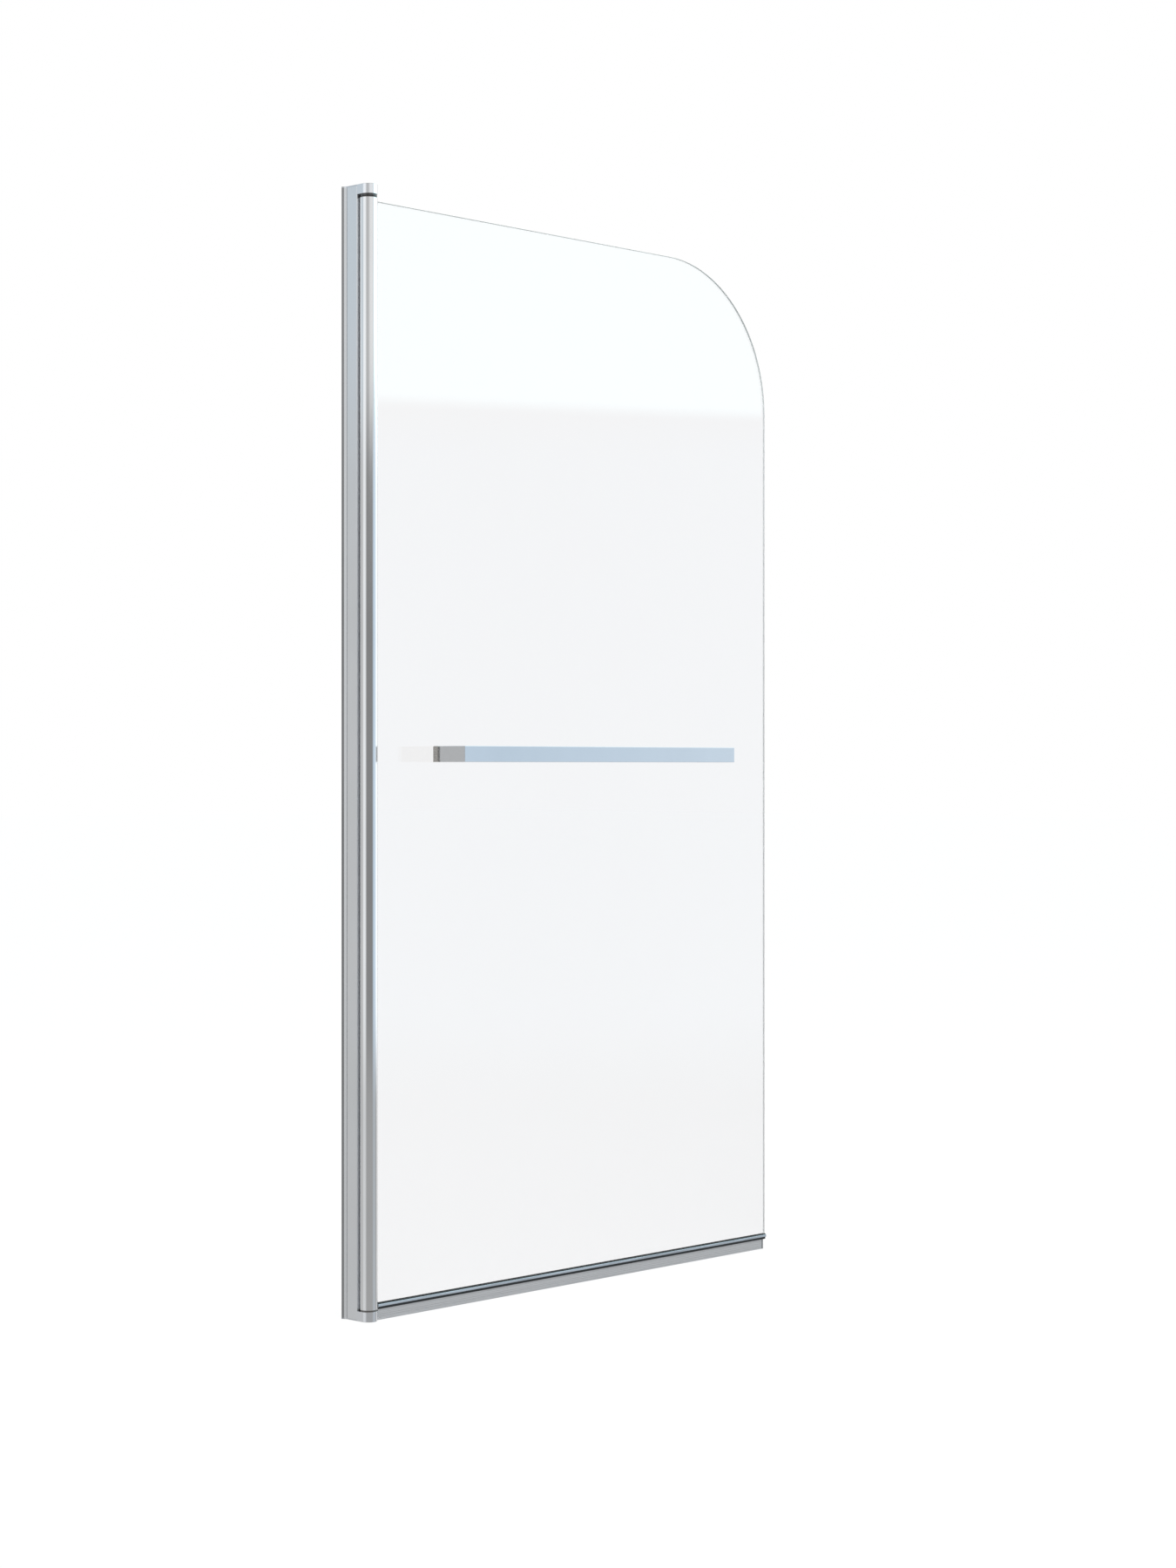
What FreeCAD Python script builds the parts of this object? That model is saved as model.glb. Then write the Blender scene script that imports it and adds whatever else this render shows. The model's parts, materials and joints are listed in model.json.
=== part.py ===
import FreeCAD, Part
import os
import re

import Sketcher

# A one-panel pivot bath screen: a wall profile in two parts, a round pivot tube
# between two end caps, a sheet of clear glass with one rounded corner, a square
# towel rail and a seal along the bottom edge.
#
# Frame: Z is up from the underside of the profile, Y is 0 on the wall and points
# into it, X is 0 on the pivot axis. The glass lies along +X, parallel to the wall,
# and the towel rail is on the room side, at -Y.

# Each size that can be set by itself, in millimetres unless it is a count.
sizes = {
    "screenHeight": (1400, "underside of the bottom cap to the top of the top cap"),
    "axisToWall": (33.5, "wall to the pivot axis"),
    "glassReach": (754, "pivot axis to the free edge of the glass"),
    "glassThickness": (6, "toughened glass"),
    "glassCorner": (200, "radius of the upper free corner"),
    "glassBite": (4.8, "pivot axis to the edge of the glass held in the tube"),
    "glassTopInset": (2.7, "end of the tube down to the top edge of the glass"),
    "glassArris": (0.6, "ground edges of the glass"),
    # wall channel
    "flangeWidth": (29.5, "plate against the wall"),
    "flangeThickness": (2.1, "plate against the wall, slanted off at its edges"),
    "shoulderSpan": (22.8, "over the front edges of the two shoulders"),
    "shoulderReach": (5.75, "wall to the front of the shoulders"),
    "legSpan": (18.8, "over the two legs"),
    "legThickness": (1.6, "each leg"),
    "legReach": (18, "wall to the tips of the legs"),
    "wallHoleRadius": (2.75, "screw holes for the wall"),
    "wallHoleInset": (100, "end of the profile to the first wall hole"),
    "wallHoleCount": (4, "wall holes, evenly spaced"),
    # hinge post
    "postWidth": (22, "over the side faces"),
    "postWall": (1.5, "side walls"),
    "postGap": (0.25, "shoulders to the rear edges, set when it is fitted"),
    "landSetback": (9.2, "pivot axis back to the front lands"),
    "landRound": (1, "outer edges of the lands"),
    "saddleGap": (2, "tube to the hollow face behind it"),
    "webThickness": (1.5, "behind the middle of the hollow face"),
    "portSpacing": (8.4, "between the two screw ports"),
    "portSetback": (2.1, "web to the centre of a port"),
    "portWall": (1.15, "round a port"),
    "sealWidth": (3.2, "strip in the hollow face"),
    "sealClearance": (0.3, "strip to the turning tube"),
    # pivot tube
    "tubeDiameter": (22, "outside"),
    "tubeWall": (1.6, "round wall"),
    "pocketWall": (1.4, "walls of the glass pocket"),
    "gasketFoot": (1.4, "gasket under the edge of the glass"),
    "gasketLeg": (1, "gasket beside the glass"),
    "gasketLip": (0.3, "gasket standing out of the tube"),
    "tubePortX": (4.5, "pivot axis back to the ports in the tube"),
    "tubePortY": (5.7, "pivot axis out to the ports in the tube"),
    "tubePortWall": (1.1, "round a port in the tube"),
    # end caps and pivots
    "capHeight": (12.2, "boss of an end cap"),
    "capPlate": (1.8, "plate over the end of the profile"),
    "capEdge": (0.4, "broken edges of an end cap"),
    "topRing": (4.6, "top cap to the tube"),
    "bottomRing": (2.4, "bottom cap to the tube"),
    "ringRadius": (10.3, "flanges and washer between cap and tube"),
    "plugFlange": (1.2, "flange of a pivot plug"),
    "plugKeyLength": (12, "key of a pivot plug inside the tube"),
    "plugKeyWidth": (5, "key between the ports"),
    "topFloat": (0.4, "play above the tube"),
    "turnGap": (0.1, "play on the thrust washer"),
    "pinRadius": (3, "pivot pin"),
    "pinLength": (9, "pivot pin beyond its flange"),
    "pinClearance": (0.05, "pin in its bush, all round"),
    "bushWall": (1.75, "pivot bush"),
    "bushDepth": (9.2, "pivot bush in its boss"),
    "fitClearance": (0.05, "pieces that slide into each other and stay"),
    # screws
    "screwRadius": (1.7, "shank of a cap screw or plug screw"),
    "screwHeadRadius": (3.1, "countersunk head"),
    "screwHeadDepth": (1.2, "countersunk head"),
    "capScrewLength": (18, "cap screws"),
    "plugScrewLength": (14, "plug screws"),
    "socketWidth": (1.1, "corner radius of the drive recess"),
    "socketDepth": (0.9, "drive recess"),
    "fixingCount": (3, "screws from post to channel, evenly spaced"),
    "fixingInset": (100, "end of the profile to the first fixing screw"),
    "fixingSetback": (5.5, "rear edges of the post to the fixing screws"),
    "fixingRadius": (1.7, "shank of a fixing screw"),
    "fixingHeadRadius": (3.2, "pan head"),
    "fixingHeadHeight": (2.2, "pan head"),
    "fixingTip": (0.6, "shank beyond the leg of the channel"),
    "coverRadius": (4.3, "cap over a fixing screw"),
    "coverWall": (0.6, "cap over a fixing screw"),
    "coverGap": (0.1, "screw head to the inside of its cap"),
    # towel rail
    "railLeft": (106, "pivot axis to the near end of the rail"),
    "railLength": (514.5, "over the ends"),
    "railLevel": (698.7, "height of the middle of the rail"),
    "railHeight": (20, "square section, up and down"),
    "railThickness": (12, "square section, front to back"),
    "railStandOff": (57.8, "glass to the front of the rail"),
    "railEdge": (0.5, "broken upper and lower edges"),
    "padThickness": (0.5, "bond between glass and base"),
    "padInset": (0.5, "pad inside the outline of its base"),
    "baseThickness": (8.4, "base block on the glass"),
    "collarThickness": (4.1, "recessed collar between base and rail"),
    "collarInset": (1.1, "collar inside the outline of the rail"),
    "studRadius": (3, "stud in base and rail"),
    "studInBase": (6, "stud in the base"),
    "studInRail": (12, "stud in the rail"),
    "grubRadius": (2, "grub screw from below"),
    "grubRecess": (0.6, "grub screw below the face of the rail"),
    # bottom seal
    "settingHeight": (3, "block under the glass in the tube"),
    "settingInset": (0.4, "block inside the tube wall"),
    "carrierTop": (19.6, "top of the metal strip"),
    "carrierBottom": (16, "underside of the metal strip"),
    "carrierWall": (1, "sides of the metal strip"),
    "carrierRound": (0.6, "outer edges of the metal strip"),
    "carrierStart": (11.6, "pivot axis to the near end of the seal"),
    "carrierPast": (0.8, "metal strip beyond the glass"),
    "lipHeight": (1.3, "rubber lip above the metal strip"),
    "lipCrest": (0.7, "flat crest of the rubber lip"),
    "lipSide": (0.5, "upright side of the rubber lip"),
    "gripFoot": (0.6, "rubber under the glass"),
    "skirtShort": (1, "skirt short of the free edge of the glass"),
    "finShort": (4.1, "fins short of the end of the skirt"),
    "skirtShoulder": (2.2, "bead of the skirt under the strip"),
    "beadSlope": (0.5, "slope under the bead"),
    "skirtFin": (1.4, "each fin of the skirt"),
    "skirtInset": (0.9, "face of the fins behind the face of the strip"),
    "rootWidth": (2, "rib of the skirt in its groove"),
    "rootHeight": (0.6, "rib of the skirt in its groove"),
}

# Lengths and places that follow from the sizes.
derived = {
    "axisY": "-axisToWall",
    "tubeRadius": "tubeDiameter / 2",
    "tubeBore": "tubeRadius - tubeWall",
    "tubeBottom": "capHeight + bottomRing",
    "tubeTop": "screenHeight - capHeight - topRing",
    "tubeLength": "tubeTop - tubeBottom",
    "glassFront": "axisY - glassThickness / 2",
    "glassBack": "axisY + glassThickness / 2",
    "glassTop": "tubeTop - glassTopInset",
    "glassBottom": "tubeBottom + settingHeight",
    "profileLength": "screenHeight - 2 * capPlate",
    "saddleRadius": "tubeRadius + saddleGap",
    "landY": "axisY + landSetback",
    "landX": "sqrt(saddleRadius * saddleRadius - landSetback * landSetback)",
    "webY": "axisY + saddleRadius + webThickness",
    "portX": "portSpacing / 2",
    "portY": "webY + portSetback",
    "portRadius": "screwRadius + fitClearance",
    "sideX": "postWidth / 2",
    "footX": "flangeWidth / 2 - flangeThickness",
    "shoulderX": "shoulderSpan / 2",
    "legX": "legSpan / 2",
    "postRear": "shoulderReach + postGap",
    "fixingDepth": "postRear + fixingSetback",
    "holeStep": "(screenHeight - 2 * wallHoleInset) / (wallHoleCount - 1)",
    "fixingStep": "(screenHeight - 2 * fixingInset) / (fixingCount - 1)",
    "pocketHalf": "glassThickness / 2 + gasketLeg",
    "pocketFloor": "glassBite - gasketFoot",
    "pocketBack": "pocketFloor - pocketWall",
    "bushBore": "pinRadius + pinClearance",
    "bushRadius": "bushBore + bushWall",
    "railRight": "railLeft + railLength",
    "railBottom": "railLevel - railHeight / 2",
    "railFront": "glassFront - railStandOff",
    "railBack": "railFront + railThickness",
    "baseFront": "glassFront - padThickness - baseThickness",
    "returnEnd": "baseFront - collarThickness",
    "gripHalf": "glassThickness / 2 + gasketLeg",
    "stripHalf": "gripHalf + carrierWall",
    "gripBottom": "glassBottom - gripFoot",
    "stripEnd": "glassReach + carrierPast",
    "skirtEnd": "glassReach - skirtShort",
    "finFace": "stripHalf - skirtInset",
}

doc = FreeCAD.newDocument("BathScreen")
sheet = doc.addObject("Spreadsheet::Sheet", "Sizes")
for row, (name, (value, note)) in enumerate(sizes.items(), start=1):
    sheet.set(f"A{row}", name)
    sheet.set(f"B{row}", str(value))
    sheet.set(f"C{row}", note)
    sheet.setAlias(f"B{row}", name)
doc.recompute()


def formula(text):
    """Turns the names of sizes and derived lengths into references to the sheet."""

    def refer(match):
        word = match[0]
        if word in derived:
            return "(" + formula(derived[word]) + ")"
        return "Sizes." + word if word in sizes else word

    return re.sub(r"[A-Za-z]+", refer, str(text))


def measure(text):
    """The number that a formula gives with the sheet as it stands."""
    return float(sheet.evalExpression(formula(text)))


def bind(thing, **formulas):
    """Binds properties of an object to formulas; x, y and z are its place."""
    for name, text in formulas.items():
        path = "Placement.Base." + name if name in ("x", "y", "z") else name
        thing.setExpression(path, formula(text))


# Sketches and features of a body.


def newBody(label):
    return doc.addObject("PartDesign::Body", label)


def newSketch(body, role, name, lift="0"):
    """A sketch on one of the body's own planes, lifted along the plane's normal."""
    sketch = body.newObject("Sketcher::SketchObject", name)
    planes = body.Origin.OriginFeatures
    sketch.AttachmentSupport = [(next(p for p in planes if p.Role == role), "")]
    sketch.MapMode = "FlatFace"
    sketch.setExpression("AttachmentOffset.Base.z", formula(lift))
    return sketch


def tie(sketch, kind, geometry, point, text):
    """A distance from the sketch's origin to a point, or a radius, with its formula."""
    if kind == "Radius":
        index = sketch.addConstraint(Sketcher.Constraint(kind, geometry, measure(text)))
    else:
        constraint = Sketcher.Constraint(kind, -1, 1, geometry, point, measure(text))
        index = sketch.addConstraint(constraint)
    sketch.setExpression(f"Constraints[{index}]", formula(text))


def outline(sketch, corners, arcs=None):
    """A closed outline through corners (x, y, tied), where tied says which of the two
    are constrained. A side listed in arcs as (x, y, radius, turn) is round: turn is 1
    where it runs anticlockwise from its corner to the next, and -1 where it doesn't."""
    arcs = arcs or {}
    points = [FreeCAD.Vector(measure(x), measure(y), 0) for x, y, *_ in corners]
    ends = []
    for side, start in enumerate(points):
        finish = points[(side + 1) % len(points)]
        if side not in arcs:
            geometry = sketch.addGeometry(Part.LineSegment(start, finish))
            ends.append((geometry, 1, 2))
            continue
        x, y, radius, turn = arcs[side]
        centre = FreeCAD.Vector(measure(x), measure(y), 0)
        low, high = (start, finish) if turn > 0 else (finish, start)
        circle = Part.Circle(centre, FreeCAD.Vector(0, 0, 1), measure(radius))
        arc = Part.ArcOfCircle(circle, circle.parameter(low), circle.parameter(high))
        geometry = sketch.addGeometry(arc)
        ends.append((geometry, 1, 2) if turn > 0 else (geometry, 2, 1))
        tie(sketch, "DistanceX", geometry, 3, x)
        tie(sketch, "DistanceY", geometry, 3, y)
        tie(sketch, "Radius", geometry, 0, radius)
    for side, (geometry, start, finish) in enumerate(ends):
        following, first, _ = ends[(side + 1) % len(ends)]
        join = Sketcher.Constraint("Coincident", geometry, finish, following, first)
        sketch.addConstraint(join)
        x, y, *tied = corners[side]
        if "x" in (tied or "xy")[0] or not tied:
            tie(sketch, "DistanceX", geometry, start, x)
        if "y" in (tied or "xy")[0] or not tied:
            tie(sketch, "DistanceY", geometry, start, y)


def rectangle(sketch, left, low, right, high):
    outline(sketch, [(left, low), (right, low), (right, high), (left, high)])


def ring(sketch, x, y, radius):
    """A full circle."""
    centre = FreeCAD.Vector(measure(x), measure(y), 0)
    up = FreeCAD.Vector(0, 0, 1)
    geometry = sketch.addGeometry(Part.Circle(centre, up, measure(radius)))
    tie(sketch, "DistanceX", geometry, 3, x)
    tie(sketch, "DistanceY", geometry, 3, y)
    tie(sketch, "Radius", geometry, 0, radius)


def pad(body, sketch, length, sides="One side"):
    """Thickens a sketch along its plane's normal, or to both sides of it."""
    feature = body.newObject("PartDesign::Pad", sketch.Name + "Pad")
    feature.Profile = sketch
    feature.SideType = sides
    feature.setExpression("Length", formula(length))
    doc.recompute()
    return feature


def breakEdges(body, size, *looks):
    """Takes a small flat off the edges of the faces that look in the directions. An
    edge that lies against the wall stays sharp."""
    base = body.Tip
    looks = [FreeCAD.Vector(*look) for look in looks]
    rims = [
        edge
        for face in base.Shape.Faces
        if any(face.normalAt(0, 0).isEqual(look, 1e-6) for look in looks)
        for edge in face.Edges
        if any(abs(point.Y) > 1e-6 for point in (edge.Vertexes[0], edge.Vertexes[-1]))
    ]
    names = [
        f"Edge{number}"
        for number, edge in enumerate(base.Shape.Edges, start=1)
        if any(edge.isSame(rim) for rim in rims)
    ]
    feature = body.newObject("PartDesign::Chamfer", base.Name + "Edges")
    feature.Base = (base, names)
    feature.setExpression("Size", formula(size))
    doc.recompute()


def pocket(body, sketch, depth, onward=True):
    """Cuts a sketch to a depth, along its plane's normal or, with onward off, against it."""
    before = body.Shape.Volume
    feature = body.newObject("PartDesign::Pocket", sketch.Name + "Pocket")
    feature.Profile = sketch
    feature.Reversed = onward
    feature.setExpression("Length", formula(depth))
    doc.recompute()
    if not body.Shape.Volume < before:
        raise RuntimeError(f"{feature.Name} cuts nothing")
    return feature


# Plain solids and their sums and differences.


def cylinder(name, radius, height, x="0", y="axisY", z="0", along="z"):
    """A round solid from its lower, left or rear end; along z, or from x or y onwards."""
    solid = doc.addObject("Part::Cylinder", name)
    bind(solid, Radius=radius, Height=height)
    turns = {"z": (0, 0, 1, 0), "x": (0, 1, 0, 90), "y": (1, 0, 0, -90)}
    *axis, angle = turns[along]
    solid.Placement.Rotation = FreeCAD.Rotation(FreeCAD.Vector(*axis), angle)
    bind(solid, x=x, y=y, z=z)
    return solid


def cone(name, low, high, height, x, y, z):
    solid = doc.addObject("Part::Cone", name)
    bind(solid, Radius1=low, Radius2=high, Height=height, x=x, y=y, z=z)
    return solid


def block(name, x, y, z, length, width, height):
    solid = doc.addObject("Part::Box", name)
    bind(solid, x=x, y=y, z=z, Length=length, Width=width, Height=height)
    return solid


def less(name, base, *tools):
    """The base with each tool cut away in turn."""
    for number, tool in enumerate(tools, start=1):
        last = number == len(tools)
        cut = doc.addObject("Part::Cut", name if last else f"{name}Step{number}")
        cut.Base = base
        cut.Tool = tool
        base = cut
    return base


def plus(name, *solids):
    joined = doc.addObject("Part::MultiFuse", name)
    joined.Shapes = list(solids)
    return joined


def group(label, solids):
    """Separate solids that make one node."""
    together = doc.addObject("Part::Compound", label)
    together.Links = list(solids)
    return together


parts = []


def keep(thing, label):
    """Names a finished sub-part; its label names its file."""
    thing.Label = label
    parts.append(thing)


# Wall channel: a plate with slanted edges and, on two hollow shoulders, the two legs
# that the hinge post slides over.


def wallChannel():
    body = newBody("WallChannel")
    section = newSketch(body, "XY_Plane", "ChannelSection", "capPlate")
    plate, shoulder, tip = "-flangeThickness", "-shoulderReach", "-legReach"
    ceiling, inner = f"{shoulder} + legThickness", "legX - legThickness"
    right = [
        ("flangeWidth / 2", "0"),
        ("footX", plate),
        ("shoulderX", shoulder),
        ("legX", shoulder),
        ("legX", tip),
        (inner, tip),
        (inner, ceiling),
        ("shoulderX - legThickness", ceiling),
        ("footX - legThickness", plate),
    ]
    left = [(f"-({x})", y) for x, y in reversed(right)]
    outline(section, right + left)
    pad(body, section, "profileLength")
    holes = newSketch(body, "XZ_Plane", "WallHoles")
    for number in range(int(measure("wallHoleCount"))):
        ring(holes, "0", f"wallHoleInset + {number} * holeStep", "wallHoleRadius")
    pocket(body, holes, "flangeThickness")
    keep(body, "wall_channel")


# Hinge post: slides over the legs and carries the caps; its front is hollowed to
# the tube, and two ports inside take the cap screws.


def hingePost():
    body = newBody("HingePost")
    section = newSketch(body, "XY_Plane", "PostSection", "capPlate")
    rear, inner = "-(postRear)", "sideX - postWall"
    roundX, roundY = "sideX - landRound", "landY + landRound"
    corners = [
        ("-landX", "landY", "y"),
        ("landX", "landY", "y"),
        (roundX, "landY", "x"),
        ("sideX", roundY, "y"),
        ("sideX", rear),
        (inner, rear),
        (inner, "webY"),
        (f"-({inner})", "webY"),
        (f"-({inner})", rear),
        ("-sideX", rear),
        ("-sideX", roundY, "y"),
        (f"-({roundX})", "landY", "x"),
    ]
    arcs = {
        0: ("0", "axisY", "saddleRadius", -1),
        2: (roundX, roundY, "landRound", 1),
        10: (f"-({roundX})", roundY, "landRound", 1),
    }
    outline(section, corners, arcs)
    pad(body, section, "profileLength")
    ports = newSketch(body, "XY_Plane", "PostPorts", "capPlate")
    bores = newSketch(body, "XY_Plane", "PostPortBores", "capPlate")
    for x in ("-portX", "portX"):
        ring(ports, x, "portY", "portRadius + portWall")
        ring(bores, x, "portY", "portRadius")
    pad(body, ports, "profileLength")
    pocket(body, bores, "profileLength")
    holes = newSketch(body, "YZ_Plane", "PostFixingHoles", "sideX - 1.5 * postWall")
    for level in fixingLevels():
        ring(holes, "-fixingDepth", level, "fixingRadius + fitClearance")
    pocket(body, holes, "2 * postWall")
    keep(body, "hinge_post")


def fixingLevels():
    count = int(measure("fixingCount"))
    return [f"fixingInset + {number} * fixingStep" for number in range(count)]


# Strip in the hollow face that keeps spray from passing behind the tube.


def saddleSeal():
    half = "sealWidth / 2"
    seat = f"sqrt(saddleRadius * saddleRadius - {half} * {half})"
    strip = block(
        "SaddleSeal",
        f"-{half}",
        "axisY + tubeRadius + sealClearance",
        "tubeBottom",
        "sealWidth",
        f"{seat} - tubeRadius - sealClearance",
        "tubeLength",
    )
    keep(strip, "saddle_seal")


# End caps: a plate over the profile and a round boss in front of it, in line with
# the tube, bored for the pivot bush.


def endCap(name, label, top):
    plateZ = "screenHeight - capPlate" if top else "0"
    bossZ = "screenHeight - capHeight" if top else "0"
    body = newBody(name)
    plate = newSketch(body, "XY_Plane", name + "Plate", plateZ)
    wide, rim, shoulder = "flangeWidth / 2", "-flangeThickness", "-shoulderReach"
    corners = [
        ("-sideX", "landY"),
        ("sideX", "landY"),
        ("sideX", shoulder),
        ("footX", rim),
        (wide, "0"),
        (f"-({wide})", "0"),
        ("-footX", rim),
        ("-sideX", shoulder),
    ]
    outline(plate, corners)
    pad(body, plate, "capPlate")
    boss = newSketch(body, "XY_Plane", name + "Boss", bossZ)
    corners = [
        ("-sideX", "axisY", "y"),
        ("sideX", "axisY", "y"),
        ("sideX", "landY"),
        ("-sideX", "landY"),
    ]
    outline(boss, corners, {0: ("0", "axisY", "sideX", 1)})
    pad(body, boss, "capHeight")
    breakEdges(body, "capEdge", (0, 0, 1 if top else -1))
    seat = newSketch(body, "XY_Plane", name + "Seat", bossZ if top else "capHeight")
    ring(seat, "0", "axisY", "bushRadius + fitClearance")
    pocket(body, seat, "bushDepth + fitClearance", onward=top)
    holes = newSketch(body, "XY_Plane", name + "Holes", plateZ)
    for x in ("-portX", "portX"):
        ring(holes, x, "portY", "screwRadius + fitClearance")
    pocket(body, holes, "capPlate")
    face = "screenHeight - screwHeadDepth" if top else "0"
    small, large = "screwRadius + fitClearance", "screwHeadRadius + fitClearance"
    low, high = (small, large) if top else (large, small)
    sinks = [
        cone(f"{name}Sink{number}", low, high, "screwHeadDepth", x, "portY", face)
        for number, x in enumerate(("-portX", "portX"))
    ]
    keep(less(name + "Sunk", body, *sinks), label)


def countersunkScrew(name, x, y, face, length, up):
    """A countersunk screw with its flat head at the height of face; up says which way
    the head looks."""
    sign = "-" if up else "+"
    tip = f"{face} - {length}" if up else f"{face} + screwHeadDepth"
    shank = cylinder(
        name + "Shank", "screwRadius", f"{length} - screwHeadDepth", x, y, tip
    )
    low, high = "screwRadius", "screwHeadRadius"
    base = f"{face} - screwHeadDepth" if up else face
    radii = (low, high) if up else (high, low)
    head = cone(name + "Head", *radii, "screwHeadDepth", x, y, base)
    socket = doc.addObject("Part::Prism", name + "Socket")
    socket.Polygon = 6
    bottom = f"{face} {sign} socketDepth" if up else face
    bind(socket, Circumradius="socketWidth", Height="socketDepth", x=x, y=y, z=bottom)
    return less(name, plus(name + "Whole", shank, head), socket)


def capScrews():
    screws = []
    for top, face in ((False, "0"), (True, "screenHeight")):
        for number, x in enumerate(("-portX", "portX")):
            name = ("Top" if top else "Bottom") + f"CapScrew{number}"
            screw = countersunkScrew(name, x, "portY", face, "capScrewLength", top)
            screws.append(screw)
    keep(group("CapScrews", screws), "cap_screws")


# Pivot bushes, a thrust washer under the tube, and the plugs that turn in them.


def pivotBush(name, label, top):
    depth, flange = "bushDepth", "topRing - plugFlange - topFloat"
    low = f"screenHeight - capHeight - ({flange})" if top else f"capHeight - {depth}"
    height = f"{depth} + {flange}" if top else depth
    sleeveZ = "screenHeight - capHeight" if top else low
    sleeve = cylinder(name + "Sleeve", "bushRadius", depth, z=sleeveZ)
    bore = cylinder(name + "Bore", "bushBore", height, z=low)
    if top:
        rim = cylinder(name + "Rim", "ringRadius", flange, z=low)
        sleeve = plus(name + "Body", sleeve, rim)
    keep(less(name, sleeve, bore), label)


def thrustWasher():
    height = "bottomRing - plugFlange - turnGap"
    disc = cylinder("WasherDisc", "ringRadius", height, z="capHeight")
    bore = cylinder("WasherBore", "bushBore", height, z="capHeight")
    keep(less("ThrustWasher", disc, bore), "thrust_washer")


def plugPorts():
    return [("-tubePortX", f"axisY {side} tubePortY") for side in "-+"]


def pivotPlug(name, label, top):
    """A flange on the end of the tube, a pin into the cap and a key into the tube."""
    flangeZ = "tubeTop" if top else "tubeBottom - plugFlange"
    pinZ = "tubeTop + plugFlange" if top else "tubeBottom - plugFlange - pinLength"
    keyZ = "tubeTop - plugKeyLength" if top else "tubeBottom"
    flange = cylinder(name + "Flange", "ringRadius", "plugFlange", z=flangeZ)
    pin = cylinder(name + "Pin", "pinRadius", "pinLength", z=pinZ)
    left = "-tubePortX - screwRadius"
    key = block(
        name + "Key",
        left,
        "axisY - plugKeyWidth / 2",
        keyZ,
        f"pocketBack - fitClearance - ({left})",
        "plugKeyWidth",
        "plugKeyLength",
    )
    face = "tubeTop" if top else "tubeBottom - plugFlange"
    small, large = "screwRadius + fitClearance", "screwHeadRadius + fitClearance"
    radii = (small, large) if top else (large, small)
    sinks = [
        cone(f"{name}Sink{number}", *radii, "plugFlange", x, y, face)
        for number, (x, y) in enumerate(plugPorts())
    ]
    whole = plus(name + "Whole", flange, pin, key)
    keep(less(name, whole, *sinks), label)


def plugScrews():
    screws = []
    for top in (False, True):
        face = "tubeTop + plugFlange" if top else "tubeBottom - plugFlange"
        for number, (x, y) in enumerate(plugPorts()):
            name = ("Top" if top else "Bottom") + f"PlugScrew{number}"
            screw = countersunkScrew(name, x, y, face, "plugScrewLength", top)
            screws.append(screw)
    keep(group("PlugScrews", screws), "plug_screws")


# Fixing screws through the side of the post into the channel, under round covers.


def fixingScrews():
    screws, covers = [], []
    for number, level in enumerate(fixingLevels()):
        place = {"y": "-fixingDepth", "z": level, "along": "x"}
        tip = "legX - legThickness - fixingTip"
        reach = f"sideX - ({tip})"
        name = f"FixingScrew{number}"
        shank = cylinder(name + "Shank", "fixingRadius", reach, x=tip, **place)
        head = cylinder(
            name + "Head", "fixingHeadRadius", "fixingHeadHeight", x="sideX", **place
        )
        screws.append(plus(name, shank, head))
        name = f"ScrewCover{number}"
        room = "fixingHeadHeight + coverGap"
        shell = cylinder(
            name + "Shell", "coverRadius", f"{room} + coverWall", x="sideX", **place
        )
        inside = cylinder(
            name + "Room", "coverRadius - coverWall", room, x="sideX", **place
        )
        covers.append(less(name, shell, inside))
    keep(group("FixingScrews", screws), "fixing_screws")
    keep(group("ScrewCovers", covers), "screw_covers")


def channelFixingHoles(body):
    """Pilot holes for the fixing screws in the leg on the hidden side."""
    holes = newSketch(body, "YZ_Plane", "LegHoles", "legX - 1.5 * legThickness")
    for level in fixingLevels():
        ring(holes, "-fixingDepth", level, "fixingRadius + fitClearance")
    pocket(body, holes, "2 * legThickness")


# Pivot tube: a round extrusion with a deep pocket for the glass and two screw
# ports inside.


def pivotTube():
    body = newBody("PivotTube")
    wall = newSketch(body, "XY_Plane", "TubeWall", "tubeBottom")
    ring(wall, "0", "axisY", "tubeRadius")
    ring(wall, "0", "axisY", "tubeBore")
    pad(body, wall, "tubeLength")
    walls = newSketch(body, "XY_Plane", "GlassPocketWalls", "tubeBottom")
    half = "pocketHalf + pocketWall"
    reach = "tubeRadius - 1.5 * tubeWall"
    rectangle(walls, "pocketBack", f"axisY - ({half})", reach, f"axisY + {half}")
    pad(body, walls, "tubeLength")
    slot = newSketch(body, "XY_Plane", "GlassPocket", "tubeBottom")
    rectangle(
        slot,
        "pocketFloor",
        "axisY - pocketHalf",
        "tubeRadius + tubeWall",
        "axisY + pocketHalf",
    )
    pocket(body, slot, "tubeLength")
    ports = newSketch(body, "XY_Plane", "TubePorts", "tubeBottom")
    bores = newSketch(body, "XY_Plane", "TubePortBores", "tubeBottom")
    for x, y in plugPorts():
        ring(ports, x, y, "portRadius + tubePortWall")
        ring(bores, x, y, "portRadius")
    pad(body, ports, "tubeLength")
    pocket(body, bores, "tubeLength")
    keep(body, "pivot_tube")


# Glass and what holds it in the tube.


def glassPanel():
    body = newBody("GlassPanel")
    sheetOutline = newSketch(body, "XZ_Plane", "GlassOutline", "axisToWall")
    corners = [
        ("glassBite", "glassBottom"),
        ("glassReach", "glassBottom"),
        ("glassReach", "glassTop - glassCorner", "y"),
        ("glassReach - glassCorner", "glassTop", "x"),
        ("glassBite", "glassTop"),
    ]
    centre = ("glassReach - glassCorner", "glassTop - glassCorner")
    outline(sheetOutline, corners, {2: (*centre, "glassCorner", 1)})
    pad(body, sheetOutline, "glassThickness", "Symmetric")
    breakEdges(body, "glassArris", (0, 1, 0), (0, -1, 0))
    keep(body, "glass_panel")


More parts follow.
